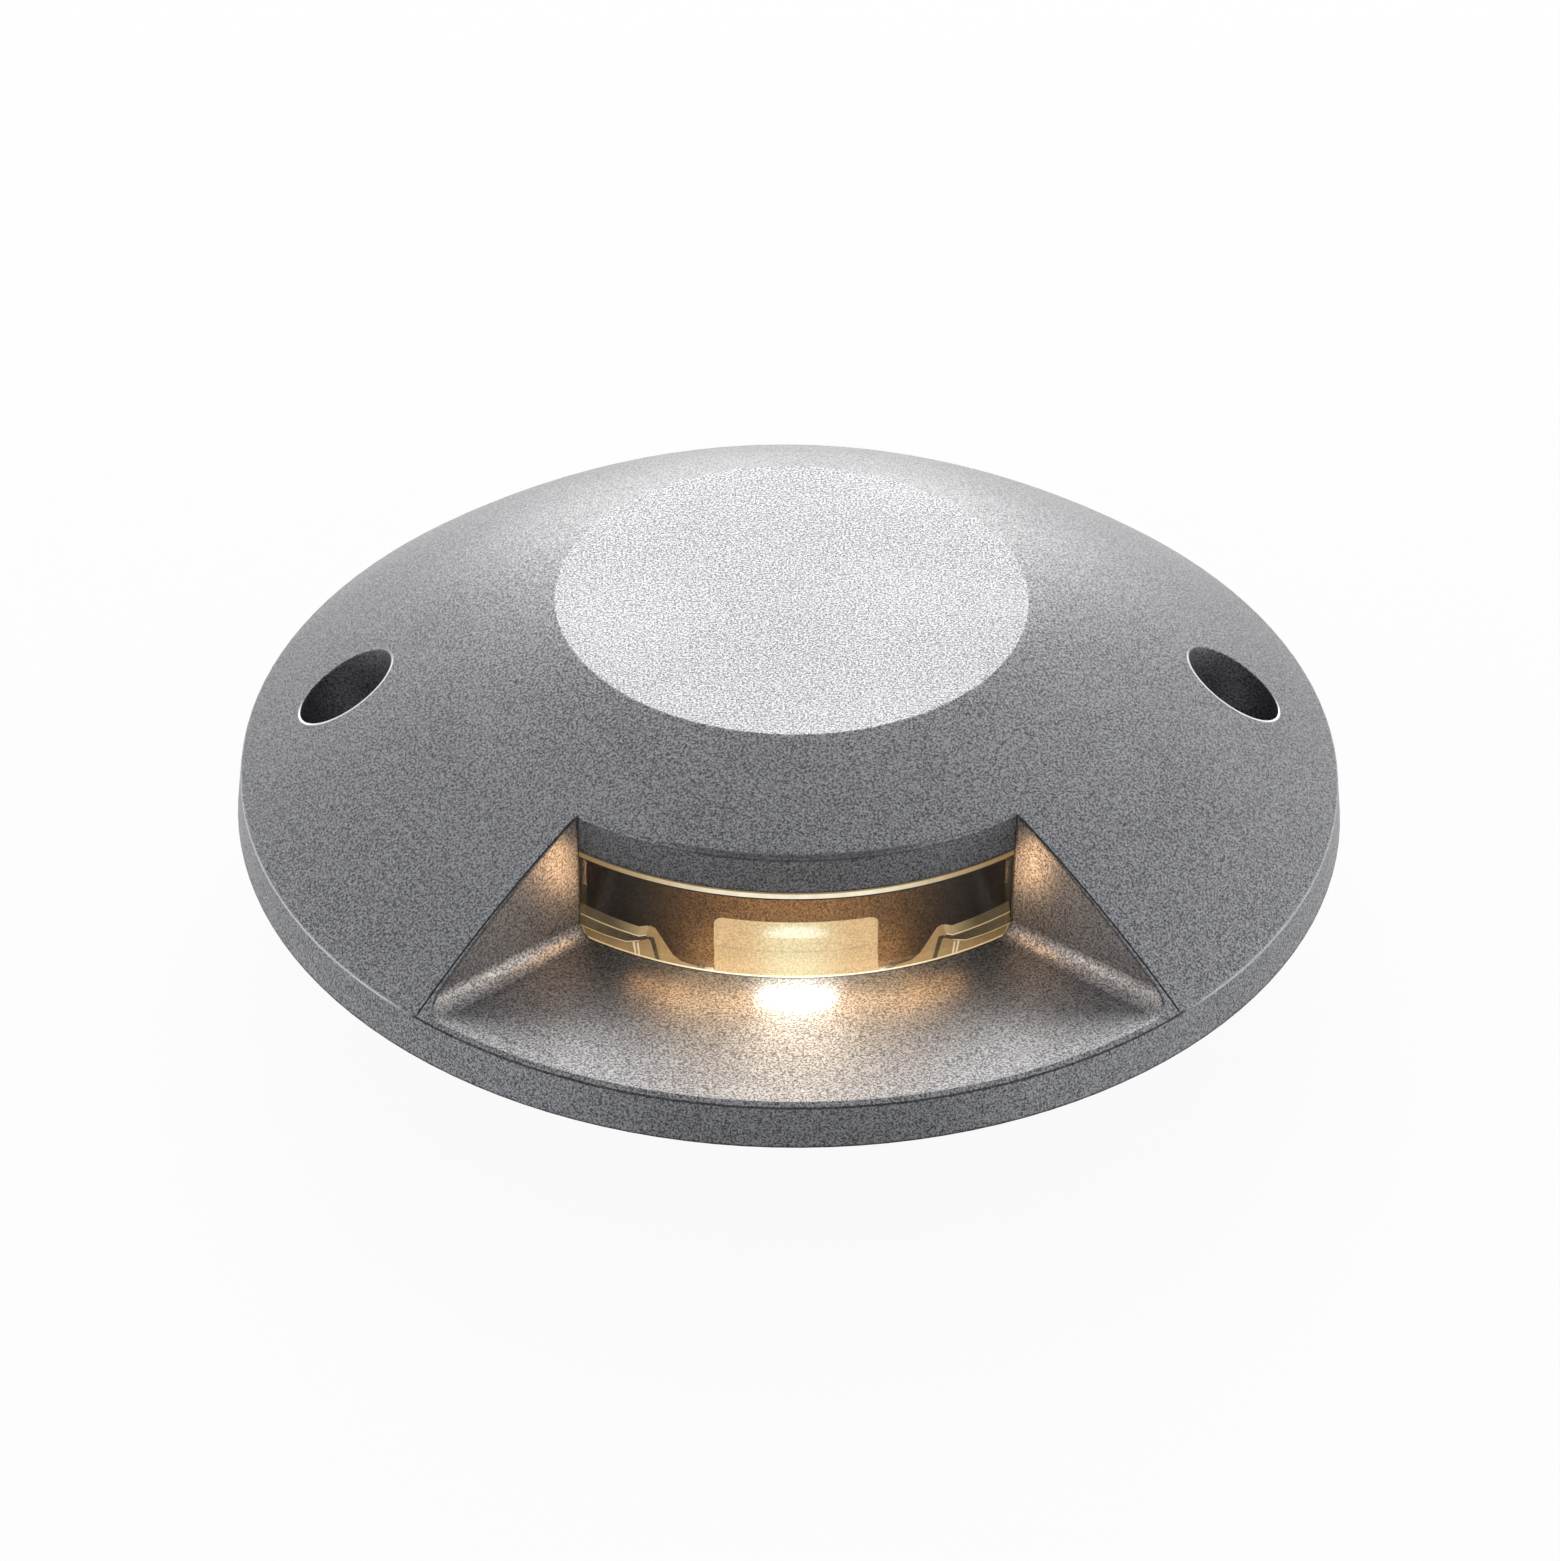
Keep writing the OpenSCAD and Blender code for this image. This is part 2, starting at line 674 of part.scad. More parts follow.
module light_chamber() color([0.62, 0.56, 0.48]) {
    difference() {
        union() {
            front_ring(sheet_out, sheet_in, lens_flange_half, shelf_z, lens_flange_z);
            front_ring(chamber_r - fit, shelf_r, pocket_edge(), shelf_z, shelf_top);
            both_sides() intersection() {
                translate([ear_place[0], ear_place[1], ear_z]) cylinder(r = ear_r, h = sheet_t);
                cylinder(r = sheet_out, h = dome_h);
            }
        }
        rotate([90, 0, 0]) linear_extrude(height = sheet_out + overrun) port_shape();
        both_sides() translate([ear_place[0], ear_place[1], 0]) cylinder(r = screw_d / 2 + fit, h = dome_h);
    }
}

// Light opening with rounded upper corners, drawn upright in X and Z
module port_shape() {
    translate([-port_half, shelf_top]) square([2 * port_half, port_z - port_round - shelf_top]);
    translate([port_round - port_half, shelf_top]) square([2 * (port_half - port_round), port_z - shelf_top]);
    for (x = [-1, 1]) translate([x * (port_half - port_round), port_z - port_round]) circle(r = port_round);
}

module chamber_screws() color([0.75, 0.75, 0.76])
    both_sides() translate([ear_place[0], ear_place[1], ear_z])
        screw_up(screw_d, sheet_t + 2 * screw_d - fit, head_d, head_h);

// Curved sheet that throws the emitters' light out of the window
module reflector() color([0.85, 0.84, 0.80]) {
    centre = [-reflector_front, shelf_top + reflector_r];
    cheek = port_half + reflector_t;
    rotate([90, 0, 90]) {
        translate([0, 0, -cheek]) linear_extrude(height = 2 * cheek) reflector_section(centre);
        for (x = [-cheek, port_half]) translate([0, 0, x]) linear_extrude(height = reflector_t)
            intersection() {
                translate(centre) circle(r = reflector_r + reflector_t / 2);
                translate([-reflector_front, 0]) square([reflector_r + reflector_t, reflector_top]);
            }
    }
    // Lip that lies on the chamber's shelf up to the light opening
    intersection() {
        cylinder(r = sheet_in - fit, h = reflector_top);
        front_box(cheek, reflector_front - bite, sheet_in, shelf_top, shelf_top + reflector_t);
    }
    // Ears under the emitter board
    both_sides() difference() {
        translate([port_half, -led_middle - head_d / 2 - fit, reflector_top - reflector_t])
            cube([led_w / 2 - port_half, head_d + 2 * fit, reflector_t]);
        translate([led_screw_pitch / 2, -led_middle, 0]) cylinder(r = screw_d / 2 + fit, h = dome_h);
    }
}

module reflector_section(centre) {
    intersection() {
        translate(centre) difference() {
            circle(r = reflector_r + reflector_t);
            circle(r = reflector_r);
        }
        translate([-reflector_front, 0]) square([reflector_r + reflector_t, reflector_top]);
    }
}

module led_plate(low, thick) {
    translate([-led_w / 2, -led_front, low]) difference() {
        cube([led_w, led_depth, thick]);
        for (x = [-1, 1]) translate([led_w / 2 + x * led_screw_pitch / 2, led_depth / 2, -overrun])
            cylinder(r = screw_d / 2 + fit, h = thick + 2 * overrun);
    }
}

module led_board() color([0.92, 0.93, 0.90]) led_plate(led_z, led_t);

module led_pad() color([0.55, 0.60, 0.66]) led_plate(led_pad_z, led_pad_t);

module led_emitters() color([0.96, 0.86, 0.45])
    for (i = [0:emitter_count - 1])
        translate([(i - (emitter_count - 1) / 2) * emitter_pitch, -led_middle, emitter_z]) difference() {
            translate([-emitter_w / 2, -emitter_w / 2, 0]) cube([emitter_w, emitter_w, emitter_h]);
            translate([0, 0, -overrun]) cylinder(r = emitter_w * 0.4, h = emitter_h / 4 + overrun);
        }

module led_screws() color([0.75, 0.75, 0.76])
    for (x = [-1, 1]) translate([x * led_screw_pitch / 2, -led_middle, reflector_top - reflector_t])
        screw_up(screw_d, reflector_t + led_t + led_pad_t + sink_flange_t, head_d, head_h);

// Extruded heat sink: foot under the dome, web, flange over the emitters and fins
module sink_section() {
    translate([-sink_front, sink_z]) square([sink_front - web_front + web_t, sink_flange_t]);
    translate([-web_front, sink_z]) square([web_t, heat_pad_z - sink_z]);
    translate([-web_front, heat_pad_z - foot_t]) square([web_front + foot_back, foot_t]);
    for (i = [0:fin_count - 1])
        translate([web_t / 2 - web_front, sink_z + i * (fin_t + fin_gap)]) square([fin_l + web_t / 2, fin_t]);
}

module heat_sink() color([0.78, 0.79, 0.80])
    difference() {
        translate([-sink_w / 2, 0, 0]) rotate([90, 0, 90]) linear_extrude(height = sink_w) sink_section();
        for (p = foot_screws) translate([p[0], p[1], heat_pad_z - foot_t - overrun])
            cylinder(r = screw_d / 2 + fit, h = foot_t + 2 * overrun);
        for (x = [-1, 1]) translate([x * led_screw_pitch / 2, -led_middle, sink_z - overrun])
            cylinder(r = screw_d / 2 + thread_fit, h = sink_flange_t + 2 * overrun);
    }

module heat_pad() color([0.55, 0.60, 0.66])
    difference() {
        translate([-cast_pad_w / 2, -web_front, heat_pad_z])
            cube([cast_pad_w, web_front + foot_back, heat_pad_t]);
        for (p = foot_screws) translate([p[0], p[1], 0]) cylinder(r = screw_d / 2 + fit, h = dome_h);
    }

module heat_sink_screws() color([0.75, 0.75, 0.76])
    for (p = foot_screws) translate([p[0], p[1], heat_pad_z - foot_t])
        screw_up(screw_d, foot_t + heat_pad_t + cast_pad_t + cast_t / 2 - fit, head_d, head_h);

// Ring of points across a lead, square to its run: turn is 0 where it rises and 90 where it runs forward
function lead_ring(at, turn) = [
    for (i = [0:lead_sides - 1]) let (a = i * 360 / lead_sides)
        at + lead_d / 2 * [cos(a), sin(a) * cos(turn), sin(a) * sin(turn)]
];

// Two leads that rise from the driver board and bend over to the back of the emitter board
module led_leads() color([0.75, 0.15, 0.12])
    for (x = [-lead_pitch / 2, lead_pitch / 2]) {
        bend = [for (i = [0:lead_steps]) let (turn = i * 90 / lead_steps) [turn, [
            x,
            lead_bend * (cos(turn) - 1) - lead_y,
            lead_z + lead_bend * (sin(turn) - 1)
        ]]];
        rings = concat(
            [lead_ring([x, -lead_y, board_top], 0)],
            [for (b = bend) lead_ring(b[1], b[0])],
            [lead_ring([x, -led_back, lead_z], 90)]
        );
        last = len(rings) - 1;
        polyhedron(
            points = [for (r = rings, p = r) p],
            faces = concat(
                [[for (i = [0:lead_sides - 1]) i]],
                [[for (i = [lead_sides - 1:-1:0]) last * lead_sides + i]],
                [for (r = [0:last - 1], i = [0:lead_sides - 1]) let (j = (i + 1) % lead_sides) each [
                    [r * lead_sides + i, (r + 1) * lead_sides + i, (r + 1) * lead_sides + j],
                    [r * lead_sides + i, (r + 1) * lead_sides + j, r * lead_sides + j]
                ]]
            )
        );
    }

module screw_cone(grow) {
    cylinder(r1 = housing_screw_d + grow, r2 = housing_screw_d / 2 + grow, h = housing_screw_d / 2);
}

module ground_housing() color([0.30, 0.31, 0.33])
    difference() {
        union() {
            translate([0, 0, -housing_depth])
                cylinder(r = housing_r, h = housing_depth + flange_t, $fn = 180);
            linear_extrude(height = flange_t) flange_plan(0);
            translate([0, gland_face, -gland_z]) rotate([90, 0, 0])
                cylinder(r = gland_boss_r, h = gland_face - housing_in);
            translate([vent_x, vent_face, -gland_z]) rotate([90, 0, 0])
                cylinder(r = vent_head_r + overrun, h = vent_l);
        }
        difference() {
            translate([0, 0, housing_floor_z])
                cylinder(r = housing_in, h = housing_depth + flange_t, $fn = 180);
            for (p = post_places) translate([p[0], p[1], housing_floor_z - overrun])
                cylinder(r = post_r, h = post_h + overrun);
            translate([earth_place[0], earth_place[1], housing_floor_z - overrun])
                cylinder(r = post_r, h = earth_h + overrun);
            translate([0, housing_r, -gland_z]) rotate([90, 0, 0])
                cylinder(r = gland_boss_r, h = housing_r - gland_back);
            translate([vent_x, vent_face, -gland_z]) rotate([90, 0, 0])
                cylinder(r = vent_head_r + overrun, h = vent_l);
        }
        for (p = post_places) translate([p[0], p[1], housing_floor_z])
            cylinder(r = screw_d / 2 + thread_fit, h = post_h + overrun);
        translate([earth_place[0], earth_place[1], housing_floor_z])
            cylinder(r = screw_d / 2 + thread_fit, h = earth_h + overrun);
        ring(seal_groove_r + seal_groove_w, seal_groove_r, flange_t - seal_groove_depth, flange_t + overrun);
        for (p = housing_screw_places) translate([p[0], p[1], 0]) {
            translate([0, 0, -overrun]) cylinder(r = housing_screw_d / 2 + fit, h = flange_t + 2 * overrun);
            screw_cone(fit);
        }
        translate([0, gland_face + overrun, -gland_z]) rotate([90, 0, 0])
            cylinder(r = gland_r + thread_fit, h = gland_face - gland_back + 2 * overrun);
        translate([vent_x, vent_face + overrun, -gland_z]) rotate([90, 0, 0])
            cylinder(r = vent_d / 2 + thread_fit, h = vent_l + 2 * overrun);
    }

module housing_seal() color([0.12, 0.12, 0.12])
    ring(seal_groove_r + seal_groove_w - thread_fit, seal_groove_r + thread_fit,
        flange_t - seal_groove_depth, flange_t);

// Countersunk screws, flush with the underside of the flange
module housing_screws() color([0.75, 0.75, 0.76])
    for (p = housing_screw_places) translate([p[0], p[1], 0]) difference() {
        union() {
            screw_cone(0);
            cylinder(r = housing_screw_d / 2, h = housing_screw_l);
        }
        translate([0, 0, -overrun])
            cylinder(r = housing_screw_d * 0.36, h = housing_screw_d / 3 + overrun, $fn = 6);
    }

module rounded_plate(l, w, corner) {
    square([l, w - 2 * corner], center = true);
    square([l - 2 * corner, w], center = true);
    for (x = [-1, 1], y = [-1, 1]) translate([x * (l / 2 - corner), y * (w / 2 - corner)]) circle(r = corner);
}

module insulator() color([0.90, 0.88, 0.80])
    translate([0, 0, housing_floor_z]) linear_extrude(height = insulator_t) difference() {
        rounded_plate(board_l, board_w, board_round);
        for (p = post_places) translate(p) circle(r = post_r + fit);
    }

module driver_board() color([0.12, 0.38, 0.22])
    translate([0, 0, board_z]) linear_extrude(height = board_t) difference() {
        rounded_plate(board_l, board_w, board_round);
        for (p = post_places) translate(p) circle(r = screw_d / 2 + fit);
    }

module driver_screws() color([0.75, 0.75, 0.76])
    for (p = post_places) translate([p[0], p[1], board_top]) rotate([180, 0, 0])
        screw_up(screw_d, board_t + post_h - screw_d, head_d, head_h);

// E-shaped ferrite core, open to both sides round its middle leg
module transformer_core() color([0.22, 0.22, 0.24])
    translate([core_place[0], core_place[1], board_top]) rotate([90, 0, 0])
        translate([0, 0, -core_w / 2]) linear_extrude(height = core_w) difference() {
            translate([-core_l / 2, 0]) square([core_l, core_h]);
            for (x = [-1, 1]) translate([x * (core_l - core_bar * 0.8) / 4 - core_slot() / 2, core_bar])
                square([core_slot(), core_h - 2 * core_bar]);
        }

// Width of a slot between the core's legs
function core_slot() = (core_l - core_bar * 2.6) / 2 - core_bar / 2;

// Winding round the core's middle leg, which fills the slots and stands out on both sides
module transformer_coil() color([0.72, 0.42, 0.20]) {
    leg = (core_l - core_bar * 0.8) / 2 - core_slot();
    turn_h = core_h - 2 * core_bar - 2 * fit;
    reach = core_slot() - 2 * fit;
    translate([core_place[0], core_place[1], board_top + core_bar + fit])
        linear_extrude(height = turn_h) difference() {
            square([leg + 2 * fit + 2 * reach, core_w + 2 * fit + 2 * reach], center = true);
            square([leg + 2 * fit, core_w + 2 * fit], center = true);
        }
}

module can(d, h) {
    cylinder(r = d / 2 - fit, h = h);
    cylinder(r = d / 2, h = h * 0.12);
    translate([0, 0, h * 0.16]) cylinder(r = d / 2, h = h * 0.80);
}

module capacitors() color([0.15, 0.20, 0.45]) {
    translate([cap_place[0], cap_place[1], board_top]) can(cap_d, cap_h);
    translate([small_cap_place[0], small_cap_place[1], board_top])
        can(cap_d * small_cap_share, cap_h * small_cap_share);
}

module choke() color([0.72, 0.42, 0.20])
    translate([choke_place[0], choke_place[1], board_top + choke_wire_r]) {
        rotate_extrude() translate([choke_r, 0]) circle(r = choke_wire_r);
        ring(choke_r + choke_wire_r / 2, choke_r - choke_wire_r / 2, -choke_wire_r, 0);
    }

module driver_chips() color([0.10, 0.10, 0.11])
    for (i = [0:1]) translate([chip_place[0] + i * chip_pitch, chip_place[1], board_top])
        translate([-chip_l / 2, -chip_w / 2, 0]) cube([chip_l, chip_w, chip_h]);

// Terminal block with one wire hole and one screw well for each way
module terminal_block() color([0.15, 0.45, 0.30]) {
    width = terminal_ways * terminal_pitch;
    translate([0, terminal_y, board_top]) difference() {
        translate([-width / 2, -terminal_depth / 2, 0]) cube([width, terminal_depth, terminal_h]);
        translate([0, terminal_depth / 2, terminal_h]) rotate([45, 0, 0])
            cube([width + overrun, terminal_depth / 4, terminal_depth / 4], center = true);
        terminal_ways_at() {
            translate([0, 0, terminal_h / 3]) rotate([-90, 0, 0])
                cylinder(r = terminal_pitch * 0.3, h = terminal_depth);
            translate([0, -terminal_depth / 6, terminal_h / 3])
                cylinder(r = terminal_pitch * 0.34, h = terminal_h);
        }
    }
}

module terminal_ways_at() {
    for (i = [0:terminal_ways - 1])
        translate([(i - (terminal_ways - 1) / 2) * terminal_pitch, 0, 0]) children();
}

module terminal_screws() color([0.78, 0.76, 0.60])
    translate([0, terminal_y - terminal_depth / 6, board_top + terminal_h / 3])
        terminal_ways_at() difference() {
            cylinder(r = terminal_pitch * 0.34 - fit, h = terminal_h / 2);
            translate([-terminal_pitch / 2, -terminal_pitch / 16, terminal_h * 0.4])
                cube([terminal_pitch, terminal_pitch / 8, terminal_h]);
        }

// Ring terminal for the earth wire
module earth_lug() color([0.80, 0.70, 0.35])
    translate([earth_place[0], earth_place[1], housing_floor_z + earth_h])
        linear_extrude(height = earth_lug_t) difference() {
            union() {
                circle(r = post_r);
                translate([0, -screw_d / 2]) square([earth_lug_l, screw_d]);
            }
            circle(r = screw_d / 2 + fit);
        }

module earth_screw() color([0.80, 0.70, 0.35])
    translate([earth_place[0], earth_place[1], housing_floor_z + earth_h + earth_lug_t]) rotate([180, 0, 0])
        screw_up(screw_d, earth_h + earth_lug_t - screw_d / 3, head_d, head_h);

// Frame of the gland: its axis runs out of the boss, from the boss's face
module gland_frame() {
    translate([0, gland_face, -gland_z]) rotate([-90, 0, 0]) children();
}

module hexagon(flats, l) {
    cylinder(r = flats / sqrt(3), h = l, $fn = 6);
}

module gland_body() color([0.16, 0.16, 0.17]) gland_frame() difference() {
    union() {
        translate([0, 0, gland_back - gland_face - locknut_t - overrun])
            cylinder(r = gland_r, h = gland_face - gland_back + locknut_t + overrun);
        hexagon(gland_flats, gland_hex_l);
        cylinder(r = gland_r, h = gland_hex_l + gland_collar_l);
    }
    translate([0, 0, gland_back - gland_face - locknut_t - 2 * overrun])
        cylinder(r = gland_bore_r, h = gland_face - gland_back + locknut_t + gland_hex_l + 2 * overrun);
    // Seat of the seal
    translate([0, 0, gland_hex_l - fit]) cylinder(r = gland_r - seal_wall, h = gland_collar_l + overrun);
}

module gland_locknut() color([0.16, 0.16, 0.17]) gland_frame()
    translate([0, 0, gland_back - gland_face - locknut_t]) difference() {
        hexagon(gland_flats, locknut_t);
        translate([0, 0, -overrun]) cylinder(r = gland_r + thread_fit, h = locknut_t + 2 * overrun);
    }

module gland_seal() color([0.30, 0.30, 0.30]) gland_frame()
    translate([0, 0, gland_hex_l]) difference() {
        cylinder(r = gland_r - seal_wall - thread_fit, h = gland_collar_l + seal_wall);
        translate([0, 0, -overrun]) cylinder(r = cable_d / 2, h = gland_collar_l + seal_wall + 2 * overrun);
    }

// Hexagonal cap with a domed nose
module gland_cap() color([0.16, 0.16, 0.17]) gland_frame()
    translate([0, 0, gland_hex_l + fit]) difference() {
        intersection() {
            hexagon(gland_flats, gland_cap_l);
            rotate_extrude() intersection() {
                square([gland_flats, gland_cap_l]);
                translate([0, gland_cap_l - gland_flats * 0.62]) circle(r = gland_flats * 0.62);
            }
        }
        translate([0, 0, -overrun]) cylinder(r = gland_r + thread_fit, h = gland_collar_l + overrun);
        translate([0, 0, -overrun])
            cylinder(r = gland_r - seal_wall, h = gland_collar_l + seal_wall + overrun);
        translate([0, 0, -overrun]) cylinder(r = cable_d / 2 + 2 * fit, h = gland_cap_l + 2 * overrun);
    }

module vent_frame() {
    translate([vent_x, vent_face, -gland_z]) rotate([-90, 0, 0]) children();
}

// Breather plug with slots under its head
module vent_plug() color([0.16, 0.16, 0.17]) vent_frame() difference() {
    union() {
        translate([0, 0, -vent_l]) cylinder(r = vent_d / 2, h = vent_l + vent_seal_t + overrun);
        translate([0, 0, vent_seal_t]) cylinder(r = vent_head_r, h = vent_head_h);
    }
    translate([0, 0, -vent_l - overrun]) cylinder(r = vent_d / 4, h = vent_l + overrun);
    for (a = [0:60:120]) rotate([0, 0, a]) translate([0, 0, vent_seal_t + vent_head_h])
        cube([vent_head_r * 3, vent_head_r / 6, vent_head_h / 2], center = true);
}

module vent_seal() color([0.12, 0.12, 0.12]) vent_frame()
    ring(vent_head_r - overrun, vent_d / 2 + thread_fit, 0, vent_seal_t);

cover();
lens();
lens_gasket();
sill_gasket();
lens_keepers();
light_chamber();
chamber_screws();
reflector();
led_board();
led_emitters();
led_pad();
led_screws();
heat_sink();
heat_pad();
heat_sink_screws();
led_leads();
ground_housing();
housing_seal();
housing_screws();
rim_seal();
insulator();
driver_board();
driver_screws();
transformer_core();
transformer_coil();
capacitors();
choke();
driver_chips();
terminal_block();
terminal_screws();
earth_lug();
earth_screw();
gland_body();
gland_locknut();
gland_seal();
gland_cap();
vent_plug();
vent_seal();
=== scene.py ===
"""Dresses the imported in-ground marker light and sets it in a plain studio.

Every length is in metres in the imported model's frame: the rim's underside is at Z 0, the window faces -Y.
"""
import logging
import math
from abc import ABC, abstractmethod
from dataclasses import dataclass, field, replace
from enum import Enum
from functools import reduce
from typing import Sequence

import bmesh
import bpy
from mathutils import Matrix, Vector


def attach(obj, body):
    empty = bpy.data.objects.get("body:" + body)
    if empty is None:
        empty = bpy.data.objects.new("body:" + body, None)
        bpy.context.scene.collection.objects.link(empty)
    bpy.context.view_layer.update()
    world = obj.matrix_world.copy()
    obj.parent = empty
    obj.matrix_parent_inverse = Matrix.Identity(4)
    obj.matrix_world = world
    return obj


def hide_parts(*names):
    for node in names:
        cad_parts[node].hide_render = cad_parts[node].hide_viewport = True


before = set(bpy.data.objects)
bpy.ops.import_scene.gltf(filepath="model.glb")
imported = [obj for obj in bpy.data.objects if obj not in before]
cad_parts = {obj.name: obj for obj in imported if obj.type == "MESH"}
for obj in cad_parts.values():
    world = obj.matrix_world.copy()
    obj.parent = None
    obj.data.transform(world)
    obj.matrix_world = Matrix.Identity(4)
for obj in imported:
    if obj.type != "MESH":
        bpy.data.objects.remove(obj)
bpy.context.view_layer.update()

LOG = logging.getLogger("marker_light")
MM = 0.001
BODY = "root"

Colour = tuple[float, float, float]
Point = tuple[float, float, float]
Pair = tuple[float, float]
Corners = Sequence[Pair]
Faces = list[list[int]]
Material = bpy.types.Material
Socket = bpy.types.NodeSocket
Value = Socket | float | Colour


class Side(Enum):
    """The two sides of the window, as the sign of X."""

    LEFT = -1
    RIGHT = 1


class Slot(Enum):
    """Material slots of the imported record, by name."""

    LENS = "clear_lens"
    KEEPER = "keeper_plastic"
    CHAMBER = "chamber_metal"
    SILICONE = "silicone"


class Axis(Enum):
    """The frame's axes, by the names of their sockets."""

    ACROSS = "X"
    DEEP = "Y"
    UP = "Z"


class Sum(Enum):
    """The sums that a material works out, by Blender's names."""

    ADD = "ADD"
    SUBTRACT = "SUBTRACT"
    MULTIPLY = "MULTIPLY"
    DIVIDE = "DIVIDE"
    MOST = "MAXIMUM"
    SIZE = "ABSOLUTE"
    ROOT = "SQRT"


class Ray(Enum):
    """Kinds of light ray, by the names of their sockets."""

    CAMERA = "Is Camera Ray"
    GLOSSY = "Is Glossy Ray"
    THROUGH = "Is Transmission Ray"
    SHADOW = "Is Shadow Ray"


class LampShape(Enum):
    """Outlines of a lamp, by Blender's names."""

    BAR = "RECTANGLE"
    OVAL = "ELLIPSE"


WHITE: Colour = (1.0, 1.0, 1.0)
CREAM: Colour = (1.0, 0.93, 0.72)
STRAW: Colour = (1.0, 0.95, 0.74)
AMBER: Colour = (1.0, 0.71, 0.34)
OCHRE: Colour = (1.0, 0.63, 0.26)
RUST: Colour = (1.0, 0.48, 0.16)


@dataclass(frozen=True)
class Ramp:
    """A run from start to end while its source goes from low to high, held at both ends."""

    low: float
    high: float
    start: float = 0.0
    end: float = 1.0
    smooth: bool = True

    def giving(self, start: float, end: float) -> "Ramp":
        """Returns the ramp with other values at its ends."""
        return replace(self, start=start, end=end)


@dataclass(frozen=True)
class Stripe:
    """A stripe of 1 within half of its middle, which falls to 0 over a soft margin."""

    middle: float
    half: float
    soft: float


# Most values of a noise of 0 to 1 lie between these.
MOST_NOISE = Ramp(0.35, 0.65)
WIDE_NOISE = Ramp(0.3, 0.7)
CRISP_NOISE = Ramp(0.38, 0.62)


def linear(red: int, green: int, blue: int) -> Colour:
    """Turns a display colour of 0 to 255 into the linear colour that shaders take.

    Args:
        red: Its red.
        green: Its green.
        blue: Its blue.

    Returns:
        The linear colour.
    """
    def channel(value: int) -> float:
        """Turns one channel by the display's own curve."""
        share = value / 255
        return share / 12.92 if share <= 0.04045 else ((share + 0.055) / 1.055) ** 2.4

    return channel(red), channel(green), channel(blue)


